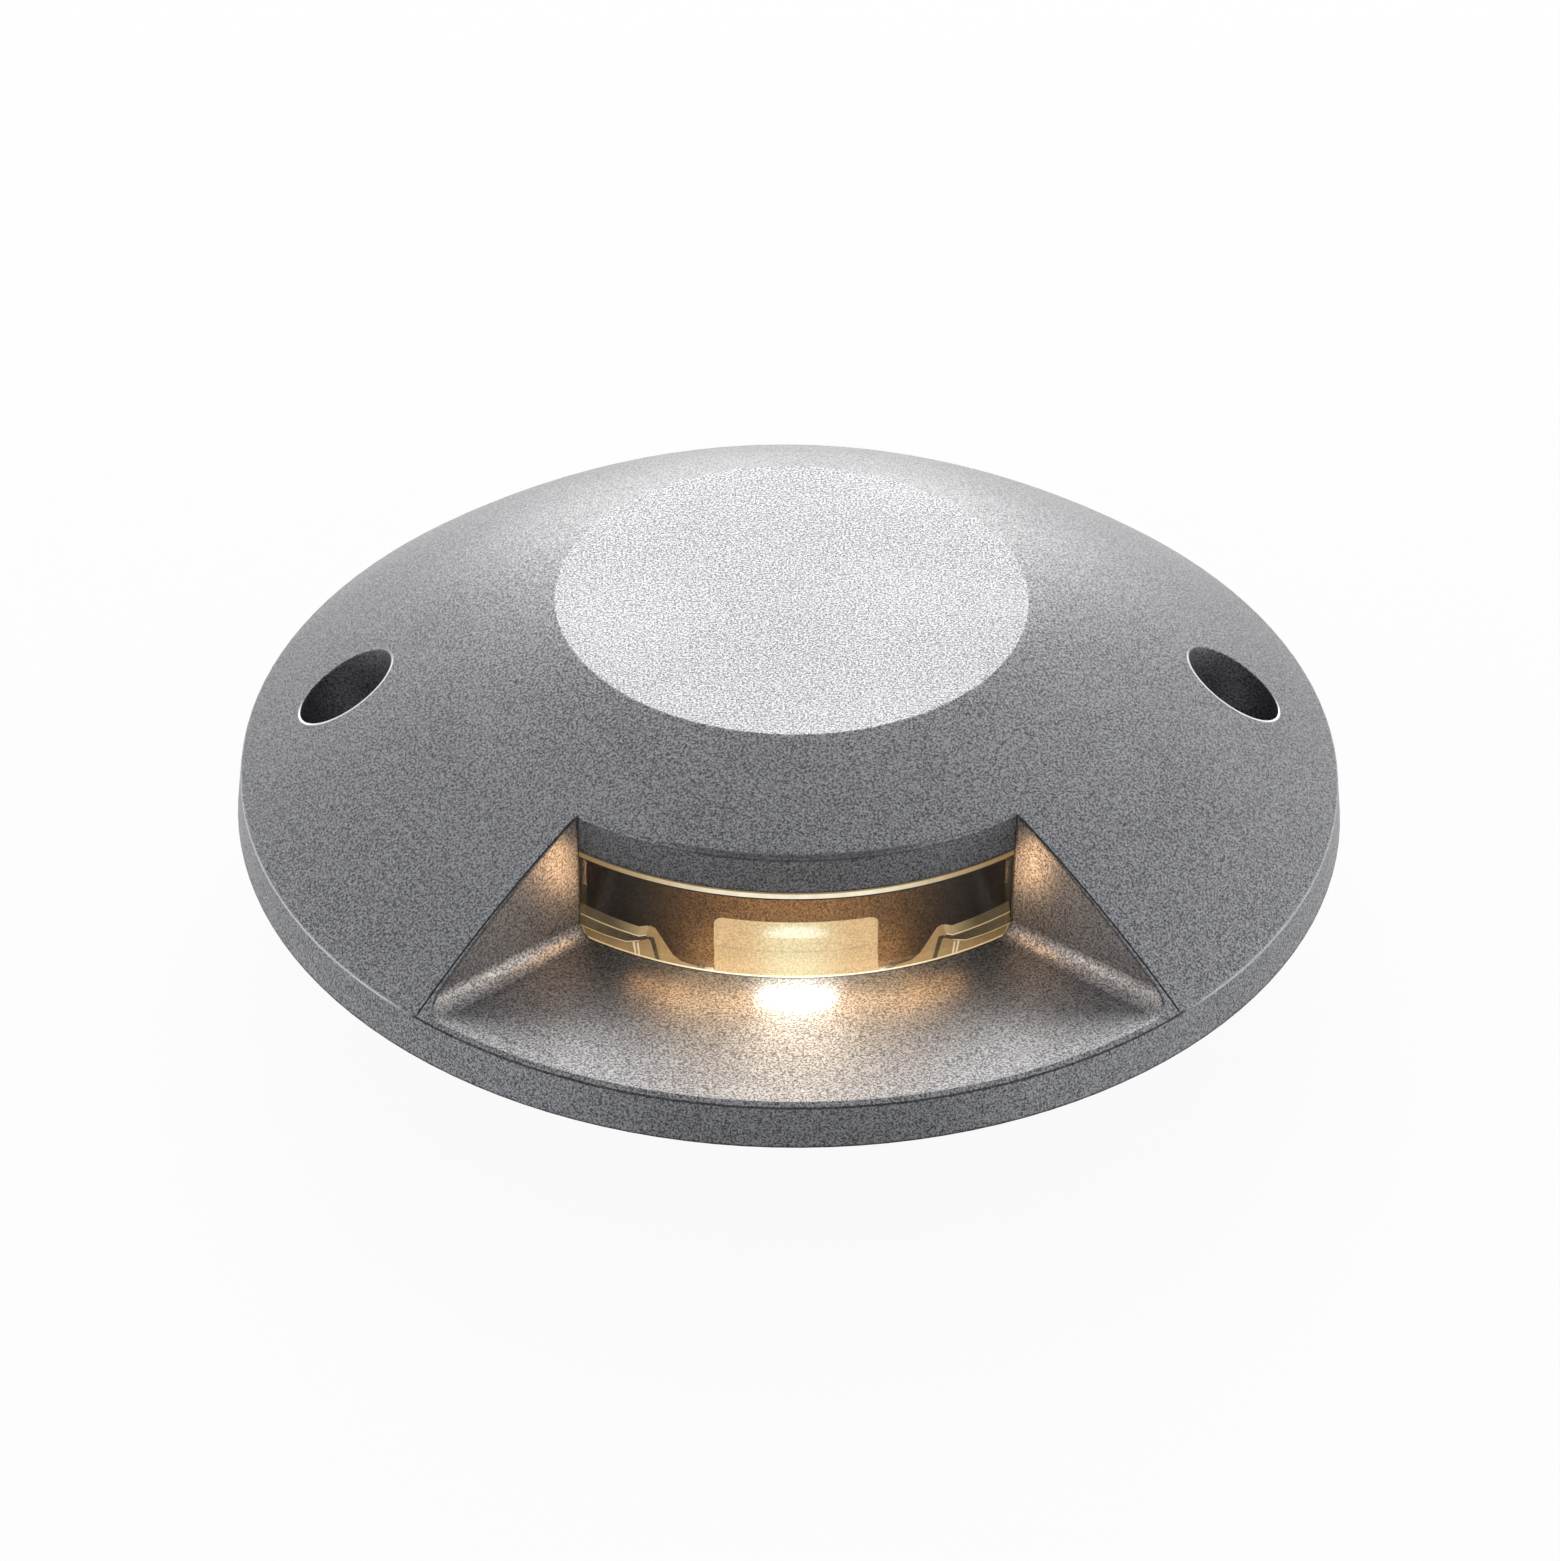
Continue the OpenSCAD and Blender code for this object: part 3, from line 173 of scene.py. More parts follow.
class Tree:
    """A node tree, built one node at a time."""

    def __init__(self, tree: bpy.types.NodeTree, output: str, coordinates: str) -> None:
        """Empties a tree and gives it an output.

        Args:
            tree: The material's or world's own tree.
            output: Blender's name for the type of its output node.
            coordinates: Which texture coordinates its textures follow.
        """
        self.tree = tree
        self.tree.nodes.clear()
        self.output = self.tree.nodes.new(output)
        self.place = self.tree.nodes.new("ShaderNodeTexCoord").outputs[coordinates]

    def node(self, kind: str, **inputs: Value | Point) -> bpy.types.Node:
        """Adds a node.

        Args:
            kind: Blender's name for the node's type.
            inputs: Values or sockets for its inputs, with underscores for the spaces in their names.

        Returns:
            The new node.
        """
        made = self.tree.nodes.new(kind)
        for key, value in inputs.items():
            self.feed(made.inputs[key.replace("_", " ")], value)
        return made

    def feed(self, target: Socket, value: Value | Point) -> None:
        """Links a socket to an input, or sets the input's own value.

        Args:
            target: The input.
            value: A socket to link, or a number, colour or vector to set.
        """
        if isinstance(value, Socket):
            self.tree.links.new(value, target)
        elif isinstance(value, tuple) and len(value) == 3 and target.type == "RGBA":
            target.default_value = (*value, 1.0)
        else:
            target.default_value = value

    def noise(self, size: float, detail: float = 2.0, rough: float = 0.55) -> Socket:
        """Returns a noise of 0 to 1 whose specks are about size across."""
        return self.node("ShaderNodeTexNoise", Vector=self.place, Scale=1 / size, Detail=detail,
                         Roughness=rough).outputs["Fac"]

    def axis(self, axis: Axis) -> Socket:
        """Returns one coordinate of the surface, in metres."""
        return self.node("ShaderNodeSeparateXYZ", Vector=self.place).outputs[axis.value]

    def facing(self) -> Socket:
        """Returns the direction that the surface faces."""
        return self.tree.nodes.new("ShaderNodeNewGeometry").outputs["Normal"]

    def work_out(self, kind: Sum, first: Value, second: Value = 0.0) -> Socket:
        """Works out a sum of one or two values.

        Args:
            kind: The sum.
            first: Its first value.
            second: Its second value, where it has one.

        Returns:
            The result.
        """
        made = self.tree.nodes.new("ShaderNodeMath")
        made.operation = kind.value
        self.feed(made.inputs[0], first)
        self.feed(made.inputs[1], second)
        return made.outputs[0]

    def plus(self, *values: Value) -> Socket:
        """Returns the total of the values."""
        return reduce(lambda total, value: self.work_out(Sum.ADD, total, value), values)

    def times(self, *values: Value) -> Socket:
        """Returns the product of the values."""
        return reduce(lambda total, value: self.work_out(Sum.MULTIPLY, total, value), values)

    def most(self, *values: Value) -> Socket:
        """Returns the largest of the values."""
        return reduce(lambda total, value: self.work_out(Sum.MOST, total, value), values)

    def size(self, value: Value) -> Socket:
        """Returns a value without its sign."""
        return self.work_out(Sum.SIZE, value)

    def length(self, first: Value, second: Value) -> Socket:
        """Returns the length of a flat vector."""
        return self.work_out(Sum.ROOT, self.plus(self.times(first, first), self.times(second, second)))

    def span(self, value: Socket, ramp: Ramp) -> Socket:
        """Runs a value through a ramp.

        Args:
            value: The source.
            ramp: Where it starts and ends, and what it gives there.

        Returns:
            The ramp's value.
        """
        made = self.node("ShaderNodeMapRange", Value=value, From_Min=ramp.low, From_Max=ramp.high,
                         To_Min=ramp.start, To_Max=ramp.end)
        made.interpolation_type = "SMOOTHSTEP" if ramp.smooth else "LINEAR"
        return made.outputs["Result"]

    def near(self, value: Socket, stripe: Stripe) -> Socket:
        """Returns 1 where a value lies on the stripe, and 0 away from it."""
        away = self.size(self.work_out(Sum.SUBTRACT, value, stripe.middle))
        return self.span(away, Ramp(stripe.half, stripe.half + stripe.soft, 1.0, 0.0))

    def blend(self, share: Value, first: Value, second: Value) -> Socket:
        """Mixes two colours.

        Args:
            share: The share of the second, from 0 to 1.
            first: The first colour.
            second: The second colour.

        Returns:
            The mixed colour.
        """
        made = self.tree.nodes.new("ShaderNodeMix")
        made.data_type = "RGBA"
        self.feed(made.inputs["Factor"], share)
        for name, colour in (("A", first), ("B", second)):
            self.feed(next(s for s in made.inputs if s.name == name and s.type == "RGBA"), colour)
        return next(s for s in made.outputs if s.type == "RGBA")

    def mix(self, share: Value, first: Socket, second: Socket) -> Socket:
        """Mixes two shaders.

        Args:
            share: The share of the second, from 0 to 1.
            first: The first shader.
            second: The second shader.

        Returns:
            The mixed shader.
        """
        made = self.tree.nodes.new("ShaderNodeMixShader")
        for target, value in zip(made.inputs, (share, first, second)):
            self.feed(target, value)
        return made.outputs[0]

    def rays(self, *kinds: Ray) -> Socket:
        """Returns 1 for rays of the given kinds, and 0 for all others."""
        path = self.tree.nodes.new("ShaderNodeLightPath")
        return self.most(*(path.outputs[kind.value] for kind in kinds))

    def agreement(self, first: Socket, second: Socket) -> Socket:
        """Compares two directions.

        Args:
            first: One direction.
            second: The other.

        Returns:
            1 where they are the same, and less the further apart they are.
        """
        made = self.tree.nodes.new("ShaderNodeVectorMath")
        made.operation = "DOT_PRODUCT"
        self.feed(made.inputs[0], first)
        self.feed(made.inputs[1], second)
        return made.outputs["Value"]

    def bevel(self, width: float) -> Socket:
        """Returns the surface's direction with its edges rounded over a width."""
        return self.node("ShaderNodeBevel", Radius=width).outputs["Normal"]

    def bump(self, height: Socket, depth: float, under: Socket | None = None) -> Socket:
        """Adds relief.

        Args:
            height: Height map of 0 to 1.
            depth: Its depth.
            under: The direction that it lies on, or None for the surface's own.

        Returns:
            The surface's direction with its relief.
        """
        made = self.node("ShaderNodeBump", Height=height, Distance=depth)
        if under is not None:
            self.feed(made.inputs["Normal"], under)
        return made.outputs["Normal"]

    def surface(self, **inputs: Value) -> Socket:
        """Adds the main shader with the given inputs and returns its output."""
        return self.node("ShaderNodeBsdfPrincipled", **inputs).outputs["BSDF"]

    def close(self, shader: Socket) -> None:
        """Connects the shader to the output."""
        self.tree.links.new(shader, self.output.inputs["Surface"])


class Coat(Tree):
    """A material's node tree."""

    def __init__(self, name: str) -> None:
        """Makes an empty material.

        Args:
            name: The material's name.
        """
        self.material = bpy.data.materials.new(name)
        self.material.use_nodes = True
        super().__init__(self.material.node_tree, "ShaderNodeOutputMaterial", "Object")

    def finish(self, shader: Socket) -> Material:
        """Connects the shader to the output and returns the material."""
        self.close(shader)
        return self.material


class Finish(ABC):
    """A finish that makes one material."""

    @abstractmethod
    def make(self) -> Material:
        """Builds the material."""


@dataclass(frozen=True)
class PowderCoat(Finish):
    """Fine textured metallic powder coat on a casting."""

    name: str = "cast_powder_coat"
    dark: Colour = linear(70, 71, 75)
    light: Colour = linear(170, 171, 175)
    metal: float = 0.75
    rough: float = 0.42
    rough_range: float = 0.05
    grain: float = 0.36 * MM
    fleck: float = 0.2 * MM
    cloud: float = 30 * MM
    grain_tone: Ramp = Ramp(0.36, 0.64, 0.08, 0.92)
    fleck_tone: Ramp = Ramp(0.35, 0.65, -0.25, 0.25)
    cloud_tone: Ramp = Ramp(0.3, 0.7, -0.04, 0.04)
    relief: float = 0.04 * MM
    fleck_relief: float = 0.4
    edge: float = 0.45 * MM
    # Width and turn that find edges, for the light and shade that a coat paints on them.
    mark: float = 0.7 * MM
    mark_turn: Ramp = Ramp(0.94, 0.99, 1.0, 0.0)

    def tone(self, coat: Coat, grain: Socket, fleck: Socket) -> Socket:
        """Adds grain, flecks and slight clouding up to one tone.

        Args:
            coat: The material's tree.
            grain: Noise of the coat's grain.
            fleck: Finer noise of its flecks.

        Returns:
            The tone, from dark at 0 to light at 1.
        """
        cloud = coat.noise(self.cloud)
        return coat.plus(coat.span(grain, self.grain_tone), coat.span(fleck, self.fleck_tone),
                         coat.span(cloud, self.cloud_tone))

    def paint_edge_light_and_shade(self, coat: Coat, corner: Socket, colour: Socket) -> Socket:
        """Leaves the finish as it is along edges; a coat that paints highlights and shade on its edges
        changes this.
        """
        return colour

    def make(self) -> Material:
        """Builds the coat with its grain, flecks, slight clouding, softened edges and any light and shade it
        paints on edges.

        Returns:
            The material.
        """
        coat = Coat(self.name)
        grain = coat.noise(self.grain, detail=3.0, rough=0.6)
        fleck = coat.noise(self.fleck, detail=1.0)
        soft = coat.bevel(self.edge)
        corner = coat.span(coat.agreement(coat.bevel(self.mark), coat.facing()), self.mark_turn)
        colour = self.paint_edge_light_and_shade(coat, corner, coat.blend(self.tone(coat, grain, fleck), self.dark, self.light))
        gloss = WIDE_NOISE.giving(self.rough + self.rough_range, self.rough - self.rough_range)
        normal = coat.bump(coat.plus(grain, coat.times(fleck, self.fleck_relief)), self.relief, under=soft)
        shader = coat.surface(Base_Color=colour, Metallic=self.metal, Roughness=coat.span(grain, gloss),
                              Normal=normal)
        return coat.finish(shader)


@dataclass(frozen=True)
class Spot:
    """Where a point of the cover lies; beyond is how far it is outside the window's side edge."""

    across: Socket
    front: Socket
    up: Socket
    radius: Socket
    beyond: Socket


@dataclass(frozen=True)
class CoverCoat(PowderCoat):
    """The cover's coat: painted shade lines round the window and under the rim, a painted highlight on the
    rim's edge.
    """

    # Colour of the painted shade lines round the window, under its floor and at the rim's foot.
    line: Colour = linear(12, 12, 14)
    # Colour of the painted highlights on the rim's edge and round the wells.
    bright: Colour = linear(235, 236, 238)
    # Colour of the painted shade line over the lintel.
    shade: Colour = linear(68, 69, 73)
    throat_half: float = 35.2 * MM
    throat_depth: float = 49.0 * MM
    throat_slope: float = 1.12
    well_x: float = 75.7 * MM
    # Where the painted shade lines lie: edges inside the window and at the rim's foot, the window's outline
    # and the line under its floor.
    inside_window: Ramp = Ramp(1.0 * MM, 1.6 * MM, 1.0, 0.0)
    inside_rim: Ramp = Ramp(92.0 * MM, 92.6 * MM, 1.0, 0.0)
    near_foot: Ramp = Ramp(1.0 * MM, 1.5 * MM, 1.0, 0.0)
    outline: Stripe = Stripe(0.30 * MM, 0.24 * MM, 0.05 * MM)
    outline_front: Ramp = Ramp(48.5 * MM, 49.5 * MM)
    outline_up: Ramp = Ramp(7.3 * MM, 7.8 * MM)
    outline_share: float = 0.9
    lip_radius: Stripe = Stripe(94.05 * MM, 0.13 * MM, 0.08 * MM)
    lip_height: Stripe = Stripe(7.3 * MM, 0.2 * MM, 0.1 * MM)
    lip_share: float = 0.75
    # Where the painted highlights lie: the rim's edge beside the window and round the wells.
    rim_edge: Stripe = Stripe(7.25 * MM, 0.4 * MM, 0.4 * MM)
    rim_beyond: Ramp = Ramp(1.0 * MM, 12.0 * MM)
    well_edge: Stripe = Stripe(8.2 * MM, 0.15 * MM, 0.05 * MM)
    well_front: Ramp = Ramp(-4.0 * MM, 1.0 * MM, 0.1, 1.0)
    # Where the painted shade line over the lintel lies.
    brow_radius: Stripe = Stripe(60.0 * MM, 0.3 * MM, 0.3 * MM)
    brow_up: Ramp = Ramp(29.0 * MM, 29.6 * MM)
    brow_front: Ramp = Ramp(0.0, 20.0 * MM)
    brow_across: Ramp = Ramp(12 * MM, 24 * MM, 0.65, 0.0)

    def locate(self, coat: Coat) -> Spot:
        """Works out where a point of the cover lies.

        Args:
            coat: The material's tree.

        Returns:
            Its distances.
        """
        across = coat.size(coat.axis(Axis.ACROSS))
        front = coat.times(coat.axis(Axis.DEEP), -1.0)
        depth = coat.work_out(Sum.SUBTRACT, front, self.throat_depth)
        reach = coat.plus(coat.times(depth, self.throat_slope), self.throat_half)
        beyond = coat.work_out(Sum.SUBTRACT, across, reach)
        return Spot(across, front, coat.axis(Axis.UP), coat.length(across, front), beyond)

    def painted_shade_marks(self, coat: Coat, corner: Socket, spot: Spot) -> Socket:
        """Marks the painted shade lines: the window's outline and corners, the line under its floor and the
        rim's foot.

        Args:
            coat: The material's tree.
            corner: 1 on the line of an edge and 0 away from it.
            spot: The place on the cover.

        Returns:
            The share of the painted shade lines' colour.
        """
        window = coat.span(spot.beyond, self.inside_window)
        inside = coat.times(window, coat.span(spot.radius, self.inside_rim))
        corners = coat.times(corner, coat.most(inside, coat.span(spot.up, self.near_foot)))
        outline = coat.times(coat.near(spot.beyond, self.outline), coat.span(spot.front, self.outline_front),
                             coat.span(spot.up, self.outline_up), self.outline_share)
        lip = coat.times(coat.near(spot.radius, self.lip_radius), coat.near(spot.up, self.lip_height), window,
                         self.lip_share)
        return coat.most(corners, outline, lip)

    def painted_highlights(self, coat: Coat, corner: Socket, spot: Spot) -> Socket:
        """Marks the painted highlights on the rim's edge beside the window and round the two wells.

        Args:
            coat: The material's tree.
            corner: 1 on the line of an edge and 0 away from it.
            spot: The place on the cover.

        Returns:
            The share of the painted highlight's colour.
        """
        rim = coat.times(corner, coat.near(spot.up, self.rim_edge), coat.span(spot.beyond, self.rim_beyond))
        from_well = coat.length(coat.work_out(Sum.SUBTRACT, spot.across, self.well_x), spot.front)
        well = coat.times(coat.near(from_well, self.well_edge), coat.span(spot.front, self.well_front))
        return coat.most(rim, well)

    def brow_mark(self, coat: Coat, spot: Spot) -> Socket:
        """Marks the painted shade line over the middle of the lintel, as the share of the shaded colour."""
        return coat.times(coat.near(spot.radius, self.brow_radius), coat.span(spot.up, self.brow_up),
                          coat.span(spot.front, self.brow_front), coat.span(spot.across, self.brow_across))

    def paint_edge_light_and_shade(self, coat: Coat, corner: Socket, colour: Socket) -> Socket:
        """Paints highlights on the edges, then the brow's shade, then the dark lines of shade.

        Args:
            coat: The material's tree.
            corner: 1 on the line of an edge and 0 away from it.
            colour: The colour of the plain finish.

        Returns:
            The colour with its painted edge light and shade.
        """
        spot = self.locate(coat)
        # Painted highlights on the rim's edge and round the wells.
        highlighted = coat.blend(self.painted_highlights(coat, corner, spot), colour, self.bright)
        # Painted shade line over the lintel.
        browed = coat.blend(self.brow_mark(coat, spot), highlighted, self.shade)
        # Painted shade lines round the window, under its floor and at the rim's foot.
        return coat.blend(self.painted_shade_marks(coat, corner, spot), browed, self.line)


@dataclass(frozen=True)
class PlainCoat(Finish):
    """A finish of one material with fine grain: mouldings, boards, rubber, pads and sheet."""

    name: str
    colour: Colour
    rough: float = 0.5
    rough_range: float = 0.04
    grain: float = 0.4 * MM
    grain_share: float = 0.6
    clouds: float = 24.0
    contrast: float = 0.08
    relief: float = 0.01 * MM

    def make(self) -> Material:
        """Builds the finish with grain in its colour, roughness and relief.

        Returns:
            The material.
        """
        coat = Coat(self.name)
        grain = coat.noise(self.grain, detail=3.0)
        cloud = coat.noise(self.grain * self.clouds)
        mixed = coat.plus(coat.times(grain, self.grain_share), coat.times(cloud, 1 - self.grain_share))
        low = tuple(c * (1 - self.contrast) for c in self.colour)
        high = tuple(min(1.0, c * (1 + self.contrast)) for c in self.colour)
        colour = coat.blend(coat.span(mixed, MOST_NOISE), low, high)
        gloss = MOST_NOISE.giving(self.rough + self.rough_range, self.rough - self.rough_range)
        normal = coat.bump(grain, self.relief)
        return coat.finish(coat.surface(Base_Color=colour, Roughness=coat.span(mixed, gloss), Normal=normal))


@dataclass(frozen=True)
class BrushedMetal(Finish):
    """Bare metal with fine lines along one axis."""

    name: str
    colour: Colour
    rough: float = 0.3
    rough_low: float = 0.06
    rough_high: float = 0.08
    stretch: Point = (1.0, 40.0, 40.0)
    line: float = 8.0 * MM
    shade: float = 0.9
    relief: float = 0.004 * MM

    def make(self) -> Material:
        """Builds the metal with its lines in roughness, tone and relief.

        Returns:
            The material.
        """
        coat = Coat(self.name)
        along = coat.node("ShaderNodeMapping", Vector=coat.place, Scale=self.stretch).outputs["Vector"]
        lines = coat.node("ShaderNodeTexNoise", Vector=along, Scale=1 / self.line, Detail=4.0,
                          Roughness=0.6).outputs["Fac"]
        low = tuple(c * self.shade for c in self.colour)
        colour = coat.blend(coat.span(lines, MOST_NOISE), low, self.colour)
        rough = coat.span(lines, WIDE_NOISE.giving(self.rough - self.rough_low, self.rough + self.rough_high))
        normal = coat.bump(lines, self.relief)
        return coat.finish(coat.surface(Base_Color=colour, Metallic=1.0, Roughness=rough, Normal=normal))


@dataclass(frozen=True)
class ClearMoulding(Finish):
    """Clear moulded plastic that lets the lamps through."""

    name: str = "clear_moulding"
    tint: Colour = (0.97, 0.96, 0.93)
    rough: float = 0.03
    flow: float = 6 * MM
    flow_rough: float = 0.03
    index: float = 1.49

    def make(self) -> Material:
        """Builds the clear surface, with faint flow marks in its gloss.

        Returns:
            The material.
        """
        coat = Coat(self.name)
        rough = coat.span(coat.noise(self.flow), MOST_NOISE.giving(self.rough, self.rough + self.flow_rough))
        clear = coat.surface(Base_Color=self.tint, Roughness=rough, IOR=self.index, Transmission_Weight=1.0)
        through = coat.node("ShaderNodeBsdfTransparent", Color=self.tint).outputs[0]
        return coat.finish(coat.mix(coat.rays(Ray.SHADOW), clear, through))


@dataclass(frozen=True)
class WarmGlow(Finish):
    """A surface that passes on the light of the emitters as painted glow; on the emitters it is their own
    glow.

    Its glow goes from core and middle to glow and ends, between the distances near and reach from the
    window's middle. Faces that don't look up take the share shaded of it, as painted shade. Spill adds
    painted light low down beside the light opening, and patch a painted reflection where a sheet mirrors the
    middle emitter.
    """

    name: str
    body: Colour
    core: Colour
    glow: Colour
    middle: float
    ends: float
    gloss: float = 0.3
    near: float = 5 * MM
    reach: float = 34 * MM
    rough: float = 0.4
    grain: float = 0.45 * MM
    contrast: float = 0.15
    relief: float = 0.015 * MM
    # Painted shade: faces that don't look up glow less.
    shaded: float = 1.0
    looks_up: Ramp = Ramp(0.2, 0.8)
    # Painted light: spill low down beside the light opening.
    spill: float = 0.0
    spill_across: Ramp = Ramp(13 * MM, 20 * MM)
    spill_up: Ramp = Ramp(4 * MM, 12 * MM, 1.0, 0.0)
    # Painted reflection of the middle emitter on a sheet.
    patch: float = 0.0
    patch_colour: Colour = STRAW
    patch_depth: float = 46.2 * MM
    patch_half: Pair = (6.5 * MM, 2.4 * MM)

    def spot(self, coat: Coat) -> Socket:
        """Marks the painted reflection where the sheet mirrors the middle emitter.

        Args:
            coat: The material's tree.

        Returns:
            1 in the middle of the patch, and 0 outside it.
        """
        wide, deep = self.patch_half
        across = coat.work_out(Sum.DIVIDE, coat.axis(Axis.ACROSS), wide)
        along = coat.work_out(Sum.DIVIDE, coat.plus(coat.axis(Axis.DEEP), self.patch_depth), deep)
        away = coat.plus(coat.times(across, across), coat.times(along, along))
        return coat.span(away, Ramp(0.0, 1.0, 1.0, 0.0))

    def strength(self, coat: Coat, grain: Socket, away: Socket) -> Socket:
        """Works out the glow, painted light on all but the emitters.

        Args:
            coat: The material's tree.
            grain: The noise that speckles it.
            away: Distance from the window's middle.

        Returns:
            The emission strength.
        """
        total = coat.span(away, Ramp(self.near, self.reach, self.middle, self.ends))
        if self.spill:
            beside = coat.span(away, self.spill_across.giving(self.spill, 0.0))
            total = coat.plus(total, coat.times(beside, coat.span(coat.axis(Axis.UP), self.spill_up)))
        # Painted shade on faces that don't look up.
        if self.shaded != 1.0:
            up = coat.node("ShaderNodeSeparateXYZ", Vector=coat.facing()).outputs[Axis.UP.value]
            total = coat.times(total, coat.span(up, self.looks_up.giving(self.shaded, 1.0)))
        return coat.times(total, coat.span(grain, CRISP_NOISE.giving(1 - self.contrast, 1 + self.contrast)))

    def make(self) -> Material:
        """Builds the surface with its speckled glow, painted light on all but the emitters.

        Returns:
            The material.
        """
        coat = Coat(self.name)
        grain = coat.noise(self.grain, detail=3.0, rough=0.6)
        away = coat.size(coat.axis(Axis.ACROSS))
        low = tuple(c * (1 - self.contrast) for c in self.body)
        colour = coat.blend(coat.span(grain, MOST_NOISE), low, self.body)
        tint: Value = self.glow
        if self.core != self.glow:
            tint = coat.blend(coat.span(away, Ramp(self.near, self.reach)), self.core, self.glow)
        strength = self.strength(coat, grain, away)
        # Painted reflection of the middle emitter.
        if self.patch:
            spot = self.spot(coat)
            tint = coat.blend(spot, tint, self.patch_colour)
            strength = coat.plus(strength, coat.times(spot, self.patch))
        normal = coat.bump(grain, self.relief)
        return coat.finish(coat.surface(Base_Color=colour, Roughness=self.rough, Normal=normal,
                                        Specular_IOR_Level=self.gloss, Emission_Color=tint,
                                        Emission_Strength=strength))


def lit_sheet(name: str) -> WarmGlow:
    """Names the finish of bright sheet that the emitters flood with light, painted as glow, with painted
    shade on faces that don't look up and a painted reflection of the middle emitter.

    Args:
        name: The material's name.

    Returns:
        The finish.
    """
    return WarmGlow(
        name, linear(13, 11, 8), core=(1.0, 0.85, 0.50), glow=(1.0, 0.68, 0.35), middle=0.88, ends=0.76,
        gloss=0.0, near=1 * MM, reach=10 * MM, grain=0.35 * MM, contrast=0.2, shaded=0.88, patch=0.27)


def dress(finish: Finish, *nodes: str) -> Material:
    """Gives CAD nodes a finish, and leaves their meshes as they are.

    Args:
        finish: The finish.
        nodes: Names of CAD nodes.

    Returns:
        The finish's material.
    """
    material = finish.make()
    for name in nodes:
        mesh_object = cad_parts[name]
        if not mesh_object.material_slots:
            mesh_object.data.materials.append(material)
        for slot in mesh_object.material_slots:
            slot.material = material
        LOG.info("dressed %s in %s", name, material.name)
    return material


def piece(name: str, points: Sequence[Point], faces: Faces, material: Material,
          crease: float = 35.0, bevel: float = 0.0) -> bpy.types.Object:
    """Makes a mesh piece that rides on the light.

    Args:
        name: The piece's name.
        points: Its corner points.
        faces: Corners of each face, by index.
        material: Its finish.
        crease: Angle in degrees above which an edge stays sharp.
        bevel: Width of the rounding on sharp edges, or 0.

    Returns:
        The new object.
    """
    mesh = bpy.data.meshes.new(name)
    mesh.from_pydata(points, [], faces)
    shape = bmesh.new()
    shape.from_mesh(mesh)
    bmesh.ops.remove_doubles(shape, verts=shape.verts, dist=0.001 * MM)
    bmesh.ops.recalc_face_normals(shape, faces=shape.faces)
    for edge in shape.edges:
        edge.smooth = len(edge.link_faces) == 2 and math.degrees(edge.calc_face_angle(0.0)) < crease
    for face in shape.faces:
        face.smooth = True
    shape.to_mesh(mesh)
    shape.free()
    mesh.materials.append(material)
    made = bpy.data.objects.new(name, mesh)
    bpy.context.scene.collection.objects.link(made)
    if bevel:
        rounding = made.modifiers.new("rounding", "BEVEL")
        rounding.width = bevel
        rounding.segments = 2
        rounding.limit_method = "ANGLE"
        rounding.angle_limit = math.radians(crease)
        rounding.harden_normals = True
    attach(made, BODY)
    LOG.info("made %s with %d points", name, len(points))
    return made


def ring_faces(count: int, stations: int) -> Faces:
    """Joins the outlines at each station of a swept piece, and closes its ends.

    Args:
        count: Corners of each outline.
        stations: Steps between the first outline and the last.

    Returns:
        Corners of each face, by index.
    """
    steps = [(j, (j + 1) % count) for j in range(count)]
    faces = [[i + j, i + k, i + count + k, i + count + j]
             for i in range(0, stations * count, count) for j, k in steps]
    return [*faces, list(range(count)), [stations * count + j for j in reversed(range(count))]]


def on_arc(radius: float, x: float, z: float) -> Point:
    """Returns the point at x on the front of an upright cylinder."""
    return x, -math.sqrt(radius * radius - x * x), z


@dataclass
class Cover:
    """The domed casting."""

    coat: CoverCoat = field(default_factory=CoverCoat)
    seal: PlainCoat = PlainCoat("seal_rubber", (0.03, 0.03, 0.03), rough=0.6, relief=0.02 * MM)

    def build(self) -> None:
        """Dresses the casting and the light's black seals."""
        dress(self.coat, "cover")
        dress(self.seal, "rim_seal", "housing_seal", "vent_seal")


